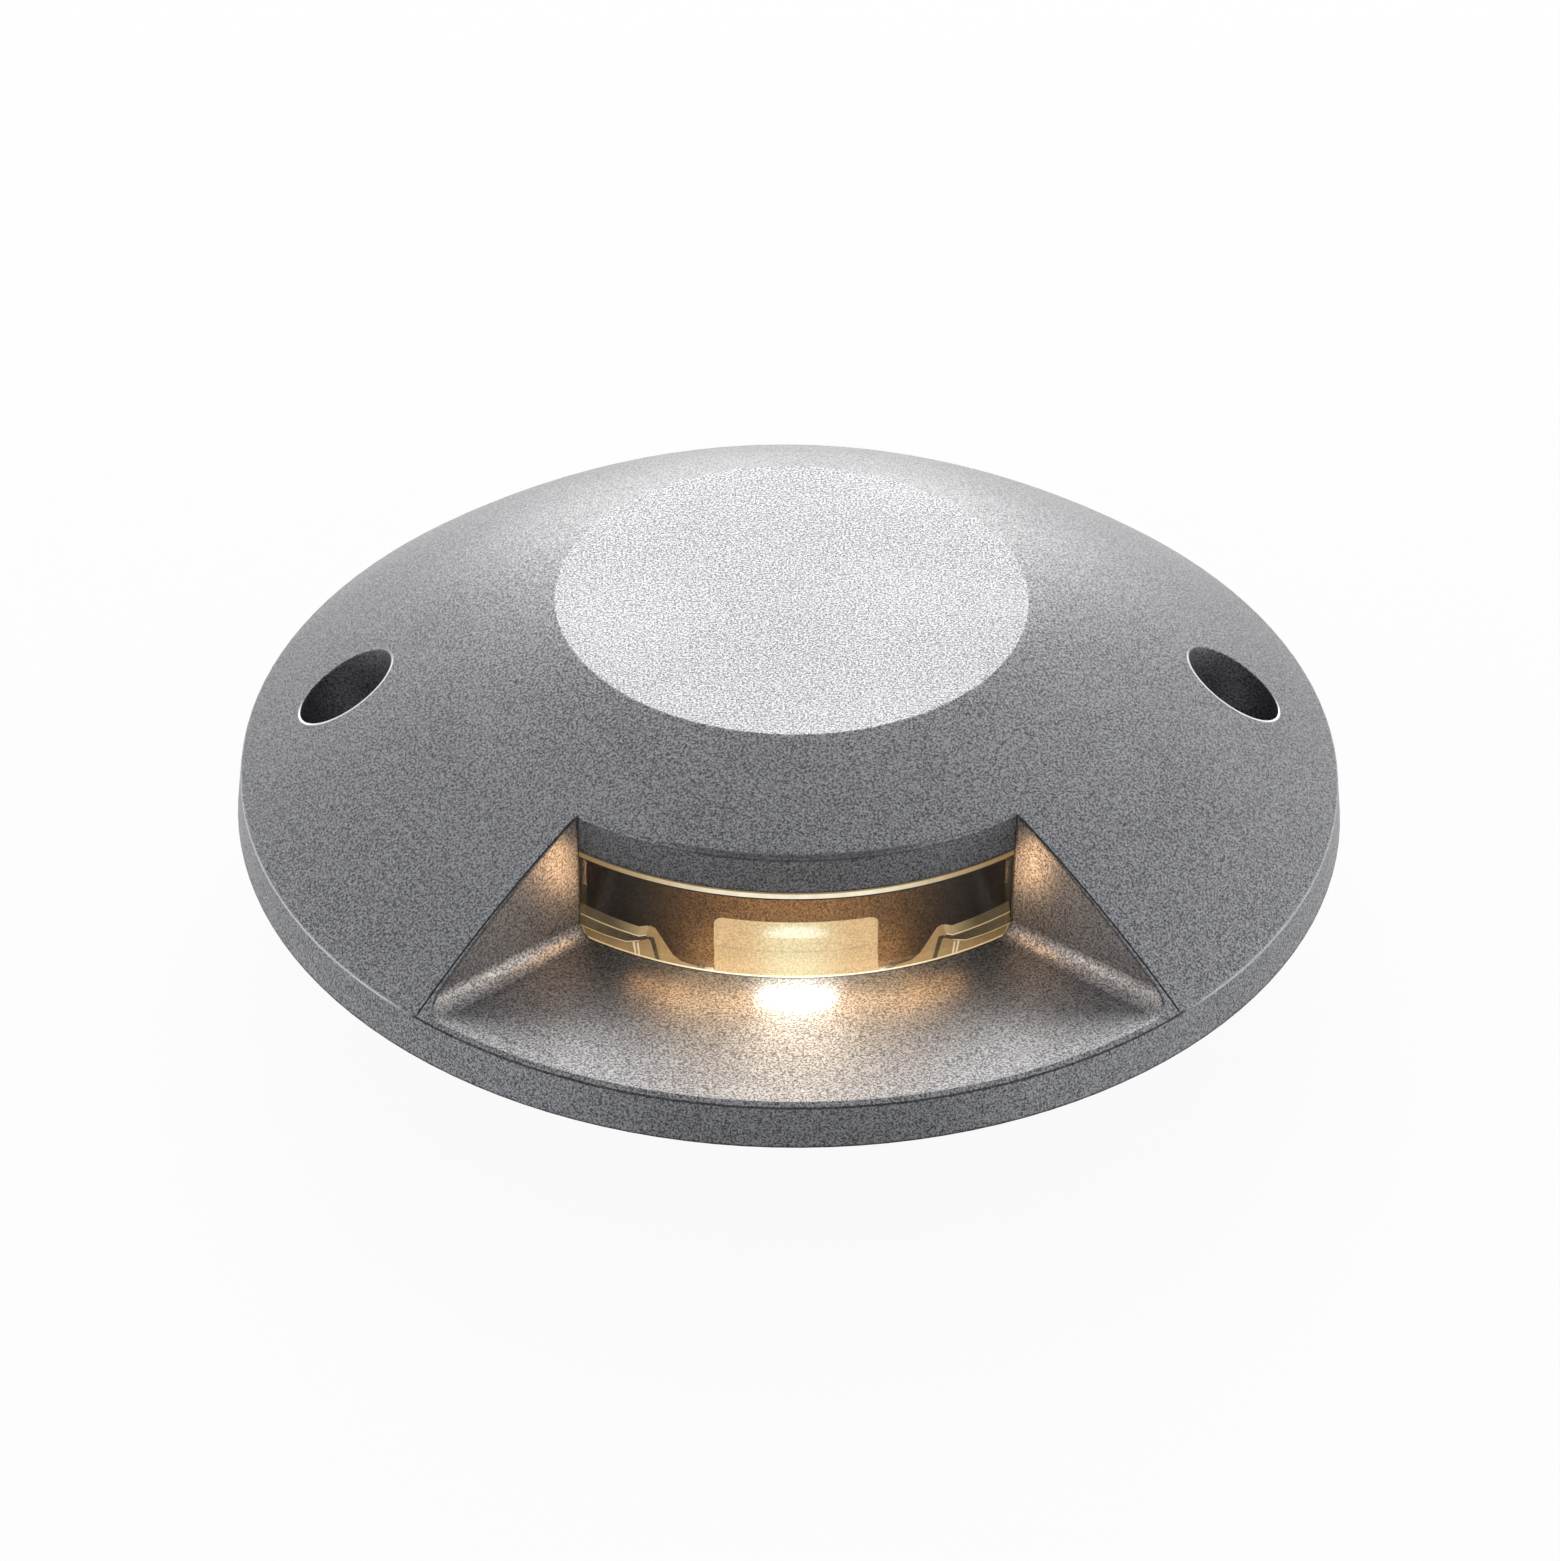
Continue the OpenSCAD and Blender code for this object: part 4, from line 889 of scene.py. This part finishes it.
@dataclass
class LensCurve:
    """The curve of the lens, and the two kinds of piece that follow it."""

    lens_r: float = 60.0 * MM
    lens_t: float = 2.0 * MM
    stations: int = 96

    def sweep(self, profile: Corners, half: float) -> tuple[list[Point], Faces]:
        """Carries a closed profile round the front of the light.

        Args:
            profile: Radius and height of each corner.
            half: Half of the width at which both ends are cut square.

        Returns:
            Points and faces.
        """
        points = [on_arc(r, math.sin((2 * i / self.stations - 1) * math.asin(half / r)) * r, z)
                  for i in range(self.stations + 1) for r, z in profile]
        return points, ring_faces(len(profile), self.stations)

    def band(self, name: str, radii: Pair, heights: Pair, half: float, material: Material,
             slot: Slot) -> bpy.types.Object:
        """Builds a curved bar of rectangular section.

        Args:
            name: The piece's name.
            radii: Radius of its back and of its front.
            heights: Height of its underside and of its top.
            half: Half of its width.
            material: Its finish.
            slot: Not used.

        Returns:
            The new piece.
        """
        (back, front), (low, high) = radii, heights
        points, faces = self.sweep([(back, low), (front, low), (front, high), (back, high)], half)
        return piece(name, points, faces, material)

    def block(self, name: str, outline: Corners, radii: Pair, material: Material, side: Side,
              bevel: float = 0.0, slot: Slot = Slot.KEEPER) -> bpy.types.Object:
        """Builds a block from its outline seen from the front.

        Args:
            name: The piece's name, without its side.
            outline: Distance from the middle and height of each corner, in millimetres.
            radii: Radius of its back and of its front.
            material: Its finish.
            side: Which side of the window it is on.
            bevel: Rounding of its edges.
            slot: Not used.

        Returns:
            The new piece.
        """
        back, front = radii
        start, end = min(x for x, _ in outline), max(x for x, _ in outline)
        steps = max(2, round(end - start))
        places = sorted({x for x, _ in outline} | {start + (end - start) * i / steps for i in range(steps)})
        edges = list(zip(outline, [*outline[1:], outline[0]]))
        points: list[Point] = []
        for x in places:
            heights = [z0 + (z1 - z0) * (x - x0) / (x1 - x0) for (x0, z0), (x1, z1) in edges
                       if x0 != x1 and min(x0, x1) <= x <= max(x0, x1)]
            low, high = min(heights), max(heights)
            points += [on_arc(r, side.value * x * MM, z * MM)
                       for r, z in ((back, low), (front, low), (front, high), (back, high))]
        return piece(f"{name}_{side.name.lower()}", points, ring_faces(4, len(places) - 1), material,
                     bevel=bevel)


@dataclass
class Lens(LensCurve):
    """The clear pane, the lip with its painted glow and dark lines of painted shade along its top, and its
    flange.
    """

    half: float = 35.08 * MM
    low: float = 4.8 * MM
    lip_low: float = 21.55 * MM
    lip_split: float = 22.6 * MM
    lip_high: float = 22.95 * MM
    lip_out: float = 0.25 * MM
    lip_top_out: float = 0.1 * MM
    lip_step: int = 15
    line: float = 0.2 * MM
    flange_in: float = 53.0 * MM
    flange_out: float = 55.4 * MM
    flange_high: float = 26.3 * MM
    flange_side: float = 3.3 * MM
    clear: ClearMoulding = ClearMoulding()
    # The lip's painted glow: bright on its nose, dimmer on its top.
    lip_glow: WarmGlow = WarmGlow(
        "lens_lip_glow", linear(96, 80, 56), core=CREAM, glow=OCHRE, middle=0.84, ends=0.20,
        near=8 * MM, reach=36 * MM, grain=2 * MM, contrast=0.05, rough=0.15)
    top_glow: WarmGlow = WarmGlow(
        "lens_lip_top", linear(70, 54, 34), core=AMBER, glow=AMBER, middle=0.30, ends=0.08,
        near=8 * MM, reach=36 * MM, grain=2 * MM, contrast=0.05, rough=0.3)
    # Dark strips of painted shade over and under the lip.
    dark: PlainCoat = PlainCoat("lip_shadow_line", (0.02, 0.018, 0.015), rough=0.7)

    def build_lip(self) -> None:
        """Builds the lip's round nose, with the back of the lip behind it."""
        nose = (self.lip_split - self.lip_low) / 2
        outer = self.lens_r + self.lip_out - nose
        middle = (self.lip_low + self.lip_split) / 2
        turns = (math.radians(angle) for angle in range(-90, 91, self.lip_step))
        bead = [(outer + nose * math.cos(turn), middle + nose * math.sin(turn)) for turn in turns]
        points, faces = self.sweep([(self.flange_in, self.lip_low), *bead, (self.flange_in, self.lip_split)],
                                   self.half)
        piece("lens_lip", points, faces, self.lip_glow.make(), crease=50.0)

    def build(self) -> None:
        """Builds the pane, the lip in two tones of painted glow, a dark line of painted shade under and over
        it, and the flange.
        """
        clear = self.clear.make()
        pane = self.lens_r - self.lens_t, self.lens_r
        made = self.band("lens_pane", pane, (self.low, self.lip_low - self.line), self.half, clear, Slot.LENS)
        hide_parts("lens")
        self.build_lip()
        self.band("lens_lip_top", (self.flange_in, self.lens_r + self.lip_top_out),
                  (self.lip_split, self.lip_high), self.half, self.top_glow.make(), Slot.LENS)
        dark = self.dark.make()
        # Painted shade lines under and over the lip.
        for name, foot in (("lip_line_low", self.lip_low - self.line), ("lip_line_high", self.lip_high)):
            self.band(name, pane, (foot, foot + self.line), self.half, dark, Slot.SILICONE)
        self.band("lens_flange", (self.flange_in, self.flange_out), (self.lip_high, self.flange_high),
                  self.half + self.flange_side, clear, Slot.LENS)


# Painted light on the keepers' moulding, with painted shade on faces that don't look up.
KEEPER_BODY = WarmGlow(
    "keeper_moulding", linear(64, 54, 38), core=AMBER, glow=AMBER, middle=0.52, ends=0.08,
    near=22.5 * MM, reach=30 * MM, grain=1.2 * MM, contrast=0.08, shaded=0.1)
# Painted glow on the keepers' end plates and ramps.
KEEPER_END = WarmGlow(
    "keeper_end", linear(62, 47, 28), core=OCHRE, glow=OCHRE, middle=0.40, ends=0.12,
    near=18 * MM, reach=36 * MM, grain=1.2 * MM, contrast=0.08)
# Painted highlights on the keepers' edges, rims and glints.
KEEPER_EDGE = WarmGlow(
    "keeper_edge", linear(120, 104, 76), core=CREAM, glow=AMBER, middle=0.95, ends=0.42,
    near=15 * MM, reach=38 * MM, rough=0.25, grain=1.2 * MM, contrast=0.05)
# Painted shade: a dim glow in the keepers' recesses, sills and slits.
KEEPER_RECESS = WarmGlow(
    "keeper_recess", linear(40, 33, 24), core=AMBER, glow=AMBER, middle=0.045, ends=0.085,
    near=22 * MM, reach=34 * MM, grain=0.8 * MM)


@dataclass(frozen=True)
class Layer:
    """One layer of a keeper, coloured by a painted glow; its radii, rounding and outline from the front are
    in millimetres.
    """

    name: str
    glow: WarmGlow
    radii: Pair
    outline: Corners
    rounding: float = 0.0


@dataclass
class Keepers(LensCurve):
    """The stepped keepers in the lens's lower corners, each built of layers of painted glow, highlight and
    shade.
    """

    ledge: Layer = Layer("keeper_ledge", KEEPER_BODY, (53.95, 56.1), (
        (34.7, 7.0), (25.2, 7.0), (24.0, 7.7), (23.2, 7.7), (22.6, 6.8), (22.6, 3.95), (34.7, 3.95)), 0.1)
    layers: tuple[Layer, ...] = (
        # Painted highlight along the ledge's front edge.
        Layer("keeper_line", KEEPER_EDGE, (56.1, 56.16), (
            (34.7, 7.02), (25.2, 7.02), (24.0, 7.7), (24.0, 7.55), (25.2, 6.84), (34.7, 6.84))),
        # Painted shade on the recess and the sill under it.
        Layer("keeper_recess", KEEPER_RECESS, (56.1, 56.14), (
            (34.7, 6.82), (25.2, 6.82), (24.0, 7.5), (23.6, 7.5), (23.6, 5.52), (34.7, 5.52))),
        Layer("keeper_sill", KEEPER_RECESS, (56.15, 56.95), (
            (34.7, 5.57), (23.7, 5.57), (23.7, 5.52), (34.7, 5.52))),
        Layer("keeper_plate", KEEPER_END, (57.91, 57.96), (
            (34.7, 6.4), (30.6, 6.4), (27.2, 6.6), (25.05, 7.6), (23.7, 8.5), (23.3, 8.3), (22.4, 4.25),
            (34.7, 4.25))),
        # Painted highlights: the plate's rim and two glints.
        Layer("keeper_rim", KEEPER_EDGE, (57.93, 57.98), (
            (34.7, 6.4), (30.6, 6.4), (27.2, 6.6), (25.05, 7.6), (25.05, 7.72), (27.2, 6.72), (30.6, 6.52),
            (34.7, 6.52))),
        Layer("keeper_glint_outer", KEEPER_EDGE, (57.965, 57.985), (
            (26.15, 7.0), (25.85, 7.1), (25.5, 4.25), (25.75, 4.25))),
        Layer("keeper_glint_inner", KEEPER_EDGE, (57.965, 57.985), (
            (25.5, 7.1), (25.2, 7.2), (24.95, 4.25), (25.2, 4.25))),
        # Painted shade in the slit.
        Layer("keeper_slit", KEEPER_RECESS, (57.45, 57.55), (
            (23.6, 8.7), (22.7, 8.7), (21.75, 4.0), (22.7, 4.0))),
        Layer("keeper_ramp", KEEPER_END, (56.45, 57.35), (
            (24.0, 8.4), (23.4, 10.2), (22.5, 9.9), (21.3, 7.9), (19.8, 5.35), (18.4, 4.3), (15.8, 3.9),
            (15.8, 2.6), (21.6, 2.6), (22.2, 5.4), (22.9, 8.0)), 0.1),
    )

    def build(self) -> None:
        """Builds both keepers, with the slit and the ramp behind the lens's pane last."""
        glows = KEEPER_BODY, KEEPER_END, KEEPER_EDGE, KEEPER_RECESS
        materials = {glow: glow.make() for glow in glows}
        for side in Side:
            for layer in (self.ledge, *self.layers):
                back, front = layer.radii
                made = self.block(layer.name, layer.outline, (back * MM, front * MM), materials[layer.glow],
                                  side, layer.rounding * MM)
                if layer is self.ledge:
                    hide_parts("lens_keepers")


@dataclass
class LightOpening(LensCurve):
    """The chamber's wall and the lit apron in front of its opening, their light painted as glow."""

    apron_radii: Pair = (51.3 * MM, 57.8 * MM)
    apron_heights: Pair = (3.95 * MM, 4.15 * MM)
    apron_half: float = 13.15 * MM
    # Painted light on the wall: a rust glow that fades from the opening to the ends, with spill low down
    # beside it.
    wall: WarmGlow = WarmGlow(
        "chamber_wall", linear(30, 25, 20), core=RUST, glow=RUST, middle=0.25, ends=0.008, gloss=0.1,
        near=2 * MM, reach=28 * MM, rough=0.5, grain=0.35 * MM, contrast=0.6, spill=0.15)

    def build(self) -> None:
        """Dresses the chamber and lays the apron, both in painted glow."""
        dress(self.wall, "light_chamber")
        # Painted light on the apron, with a painted reflection of the middle emitter.
        self.band("apron", self.apron_radii, self.apron_heights, self.apron_half,
                  lit_sheet("lit_apron").make(), Slot.CHAMBER)


@dataclass
class FootLine(LensCurve):
    """The line of painted light along the lens's lower edge; its outline is in millimetres, seen from the
    front.
    """

    stand_off: float = 0.02 * MM
    thickness: float = 0.06 * MM
    upper: Corners = ((34.75, 7.3), (34.25, 5.85), (33.2, 4.95), (30.3, 4.92), (26.3, 5.26), (22.2, 5.52),
                      (14.0, 5.72), (0.0, 5.8))
    lower: Corners = ((0.0, 5.1), (14.0, 5.0), (22.2, 4.9), (26.3, 4.7), (30.3, 4.4), (33.2, 4.4),
                      (34.05, 5.2), (34.6, 7.2))
    # Painted light: a cream glow along the lens's foot, fading to amber at the ends.
    glow: WarmGlow = WarmGlow(
        "lens_foot_glow", linear(120, 108, 84), core=CREAM, glow=AMBER, middle=1.15, ends=0.45,
        near=8 * MM, reach=36 * MM, rough=0.2, grain=2 * MM, contrast=0.05)

    def build(self) -> None:
        """Lays the line of painted light on both halves of the lens, and dresses the sill's seal in the same
        glow.
        """
        glow = dress(self.glow, "sill_gasket")
        back = self.lens_r + self.stand_off
        for side in Side:
            self.block("lens_foot", (*self.upper, *self.lower), (back, back + self.thickness), glow, side,
                       slot=Slot.LENS)


@dataclass
class Window:
    """The lens, the pieces that hold it and the painted glow behind it."""

    lens: Lens = field(default_factory=Lens)
    keepers: Keepers = field(default_factory=Keepers)
    opening: LightOpening = field(default_factory=LightOpening)
    foot: FootLine = field(default_factory=FootLine)
    gasket: PlainCoat = PlainCoat("silicone", (0.72, 0.70, 0.62), rough=0.35)

    def build(self) -> None:
        """Builds the window's own parts and dresses the lens's gasket."""
        for part in (self.lens, self.keepers, self.opening, self.foot):
            part.build()
        dress(self.gasket, "lens_gasket")


@dataclass
class LightEngine:
    """Emitters, board, reflector and heat sink."""

    glow: Colour = (1.0, 0.74, 0.42)
    strength: float = 3.0

    def build(self) -> None:
        """Dresses the engine's pieces, lights its emitters and paints the reflector's light as glow."""
        dress(WarmGlow("phosphor", (0.95, 0.80, 0.40), core=self.glow, glow=self.glow, middle=self.strength,
                       ends=self.strength, reach=20 * MM, contrast=0.03), "led_emitters")
        # Painted light: the reflector glows, with a painted reflection of the middle emitter.
        dress(lit_sheet("reflector_sheet"), "reflector")
        dress(PlainCoat("white_mask", (0.78, 0.78, 0.74), rough=0.35), "led_board")
        dress(PlainCoat("thermal_pad", (0.26, 0.30, 0.34), rough=0.8), "led_pad", "heat_pad")
        dress(BrushedMetal("extruded_metal", (0.66, 0.67, 0.68), stretch=(1.0, 60.0, 60.0)), "heat_sink")
        dress(PlainCoat("lead_jacket", (0.42, 0.03, 0.02), rough=0.4), "led_leads")


@dataclass
class GroundHousing:
    """The pot below the paving, with its driver, gland and vent."""

    primer: PowderCoat = PowderCoat(
        "housing_primer", linear(52, 53, 55), linear(68, 69, 71), metal=0.2, rough=0.55, grain=0.7 * MM)
    screws: BrushedMetal = BrushedMetal("stainless", (0.62, 0.62, 0.62), rough=0.28)

    def build_driver(self) -> None:
        """Dresses the driver and the sheet that insulates it."""
        dress(PlainCoat("insulating_sheet", (0.72, 0.68, 0.55), rough=0.6), "insulator")
        dress(PlainCoat("green_mask", (0.01, 0.12, 0.05), rough=0.3), "driver_board")
        dress(PlainCoat("ferrite", (0.03, 0.03, 0.035), rough=0.65, contrast=0.2), "transformer_core")
        dress(BrushedMetal("winding", (0.62, 0.26, 0.10), rough=0.32, stretch=(2.0, 2.0, 60.0)),
              "transformer_coil", "choke")
        dress(PlainCoat("can_sleeve", (0.02, 0.03, 0.14), rough=0.25), "capacitors")
        dress(PlainCoat("epoxy", (0.02, 0.02, 0.022), rough=0.5), "driver_chips")
        dress(PlainCoat("terminal_moulding", (0.02, 0.16, 0.07), rough=0.35), "terminal_block")
        dress(BrushedMetal("plated_brass", (0.72, 0.56, 0.24)), "terminal_screws", "earth_lug", "earth_screw")

    def build(self) -> None:
        """Dresses the housing, all the plain screws, the driver, the gland and the vent."""
        dress(self.primer, "ground_housing")
        dress(self.screws, "housing_screws", "chamber_screws", "led_screws", "heat_sink_screws",
              "driver_screws")
        self.build_driver()
        dress(PlainCoat("polyamide", (0.025, 0.025, 0.027), rough=0.45, grain=0.3 * MM, relief=0.02 * MM),
              "gland_body", "gland_locknut", "gland_cap", "vent_plug")
        dress(PlainCoat("gland_rubber", (0.06, 0.06, 0.06), rough=0.7), "gland_seal")


@dataclass(frozen=True)
class Lamp:
    """A soft lamp that lights the scene but isn't seen itself, with power in watts and spread in degrees."""

    name: str
    place: Point
    aim: Point
    size: Pair
    power: float
    colour: Colour
    shape: LampShape = LampShape.BAR
    spread: float = 180.0

    def on(self, side: Side) -> "Lamp":
        """Returns a lamp that is given for the right, moved to one side of the window."""
        place, aim = ((side.value * x, y, z) for x, y, z in (self.place, self.aim))
        return replace(self, name=f"{self.name}_{side.name.lower()}", place=place, aim=aim)

    def build(self) -> None:
        """Adds the lamp to the scene."""
        data = bpy.data.lights.new(self.name, "AREA")
        data.shape = self.shape.value
        data.size, data.size_y = self.size
        data.energy = self.power
        data.color = self.colour
        data.spread = math.radians(self.spread)
        made = bpy.data.objects.new(self.name, data)
        made.location = self.place
        made.rotation_mode = "QUATERNION"
        made.rotation_quaternion = (Vector(self.aim) - Vector(self.place)).to_track_quat("-Z", "Y")
        made.visible_camera = made.visible_transmission = False
        bpy.context.scene.collection.objects.link(made)


@dataclass
class Studio:
    """Floor, lamps, world and camera.

    The ramps give the levels of the floor and the world in the coat's gloss; the floor's ramps paint a shadow
    there, dimmer near the object. The camera is fitted to the photograph. The side lamps are given for the
    right, and stand on both sides of the window.
    """

    floor_z: float = -26.1 * MM
    floor_half: float = 6.0
    floor_colour: Colour = (0.9, 0.9, 0.9)
    # Painted shadow: the floor's level in reflections falls near the object and along its middle.
    floor_beside: Ramp = Ramp(0.025, 0.09, 0.32, 1.0)
    floor_far: Ramp = Ramp(0.10, 0.26)
    shadow_share: float = 0.06
    fill: float = 0.5
    overhead: Ramp = Ramp(0.3, 1.0, 1.0, 0.64)
    left_to_right: Ramp = Ramp(-0.9, 0.9, 1.0, 1.18, smooth=False)
    clip: Pair = (0.01, 30.0)
    camera_place: Point = (-0.016645, -0.595904, 0.447592)
    camera_axes: tuple[Point, Point, Point] = (
        (0.99979, 0.003579, -0.02018),
        (-0.018287, 0.600349, -0.799529),
        (0.009253, 0.79973, 0.600289),
    )
    focal_pixels: float = 4302.0
    long_side: float = 1561.0
    sensor: float = 36.0
    lamps: tuple[Lamp, ...] = (
        Lamp("back_lamp", place=(0.04, 1.25, 0.66), aim=(0.0, 0.0, 0.02), size=(1.20, 1.3), power=18.0,
             colour=(1.0, 0.98, 0.94)),
        Lamp("window_lamp", place=(0.0, -0.0531, 0.0078), aim=(0.0, -0.09, 0.0060), size=(0.0255, 0.0070),
             power=0.042, colour=(1.0, 0.68, 0.37), spread=172.0),
        Lamp("hot_lamp", place=(0.0, -0.0609, 0.0092), aim=(0.0, -0.0616, 0.0040), size=(0.0125, 0.005),
             power=0.0032, colour=(1.0, 0.95, 0.82), shape=LampShape.OVAL),
        Lamp("foot_lamp", place=(0.0, -0.0615, 0.0105), aim=(0.0, -0.0665, 0.0040), size=(0.047, 0.003),
             power=0.0012, colour=(1.0, 0.60, 0.28), shape=LampShape.OVAL, spread=150.0),
        Lamp("beam_lamp", place=(0.0, -0.0605, 0.0200), aim=(0.0, -0.0760, 0.0062), size=(0.016, 0.004),
             power=0.0005, colour=(1.0, 0.84, 0.62), spread=85.0),
        Lamp("floor_lamp", place=(0.0, -0.0606, 0.0200), aim=(0.0, -0.0850, 0.0060), size=(0.075, 0.003),
             power=0.0013, colour=(1.0, 0.97, 0.92), spread=120.0),
    )
    side_lamps: tuple[Lamp, ...] = (
        Lamp("foot_lamp", place=(0.0220, -0.0582, 0.0098), aim=(0.0230, -0.0640, 0.0040), size=(0.010, 0.003),
             power=0.00012, colour=(1.0, 0.50, 0.18), spread=130.0),
        Lamp("side_lamp", place=(0.0297, -0.0533, 0.0165), aim=(0.0420, -0.0540, 0.0160), size=(0.004, 0.010),
             power=0.0010, colour=(1.0, 0.58, 0.28), spread=145.0),
        Lamp("wall_lamp", place=(0.010, -0.0605, 0.0160), aim=(0.060, -0.0750, 0.0120), size=(0.006, 0.004),
             power=0.0007, colour=(1.0, 0.94, 0.85), spread=60.0),
    )

    def build_camera(self) -> None:
        """Sets the camera at the photographed angle."""
        data = bpy.data.cameras.new("photo_camera")
        data.sensor_width = self.sensor
        data.lens = self.focal_pixels / self.long_side * self.sensor
        data.clip_start, data.clip_end = self.clip
        camera = bpy.data.objects.new("photo_camera", data)
        camera.matrix_world = Matrix.Translation(self.camera_place) @ Matrix(self.camera_axes).to_4x4()
        bpy.context.scene.collection.objects.link(camera)
        bpy.context.scene.camera = camera

    def build_floor(self) -> None:
        """Lays a pale floor that stays white to the camera and keeps a soft shadow, with a painted shadow
        near the object in reflections.
        """
        coat = Coat("studio_floor")
        pale = coat.node("ShaderNodeBsdfDiffuse", Color=self.floor_colour).outputs[0]
        across, deep = coat.axis(Axis.ACROSS), coat.axis(Axis.DEEP)
        # Painted shadow: the floor is dimmer in reflections near the object.
        mirrored_with_painted_shadow = coat.most(coat.span(coat.length(across, deep), self.floor_far),
                             coat.span(coat.size(across), self.floor_beside))
        level = coat.most(coat.rays(Ray.CAMERA, Ray.THROUGH), mirrored_with_painted_shadow)
        white = coat.node("ShaderNodeEmission", Color=WHITE, Strength=level).outputs[0]
        seen = coat.rays(Ray.CAMERA, Ray.GLOSSY, Ray.THROUGH)
        mixed = coat.mix(coat.times(seen, 1 - self.shadow_share), pale, white)
        h, z = self.floor_half, self.floor_z
        mesh = bpy.data.meshes.new("studio_floor")
        mesh.from_pydata([(-h, -h, z), (h, -h, z), (h, h, z), (-h, h, z)], [], [(0, 1, 2, 3)])
        mesh.materials.append(coat.finish(mixed))
        floor = bpy.data.objects.new("studio_floor", mesh)
        bpy.context.scene.collection.objects.link(floor)

    def build_world(self) -> None:
        """Surrounds the scene with plain white, dimmer overhead and where it only fills the shadows."""
        world = bpy.data.worlds.new("studio_world")
        world.use_nodes = True
        tree = Tree(world.node_tree, "ShaderNodeOutputWorld", "Generated")
        sky = tree.times(tree.span(tree.axis(Axis.UP), self.overhead),
                         tree.span(tree.axis(Axis.ACROSS), self.left_to_right))
        level = tree.most(tree.times(tree.rays(Ray.GLOSSY), sky), self.fill)
        level = tree.most(tree.rays(Ray.CAMERA, Ray.THROUGH), level)
        tree.close(tree.node("ShaderNodeBackground", Color=WHITE, Strength=level).outputs[0])
        bpy.context.scene.world = world

    def build_lamps(self) -> None:
        """Adds the back lamp and the window's own lamps."""
        for lamp in (*self.lamps, *(lamp.on(side) for side in Side for lamp in self.side_lamps)):
            lamp.build()
            LOG.info("lit %s", lamp.name)

    def build(self) -> None:
        """Builds the whole studio."""
        self.build_camera()
        self.build_floor()
        self.build_world()
        self.build_lamps()
        bpy.context.scene.view_settings.view_transform = "Standard"


def main() -> None:
    """Builds each sub-assembly in order."""
    logging.basicConfig(level=logging.INFO, format="%(name)s: %(message)s")
    for part in (Studio(), Cover(), Window(), LightEngine(), GroundHousing()):
        LOG.info("building %s", type(part).__name__)
        part.build()


if __name__ == "__main__":
    main()
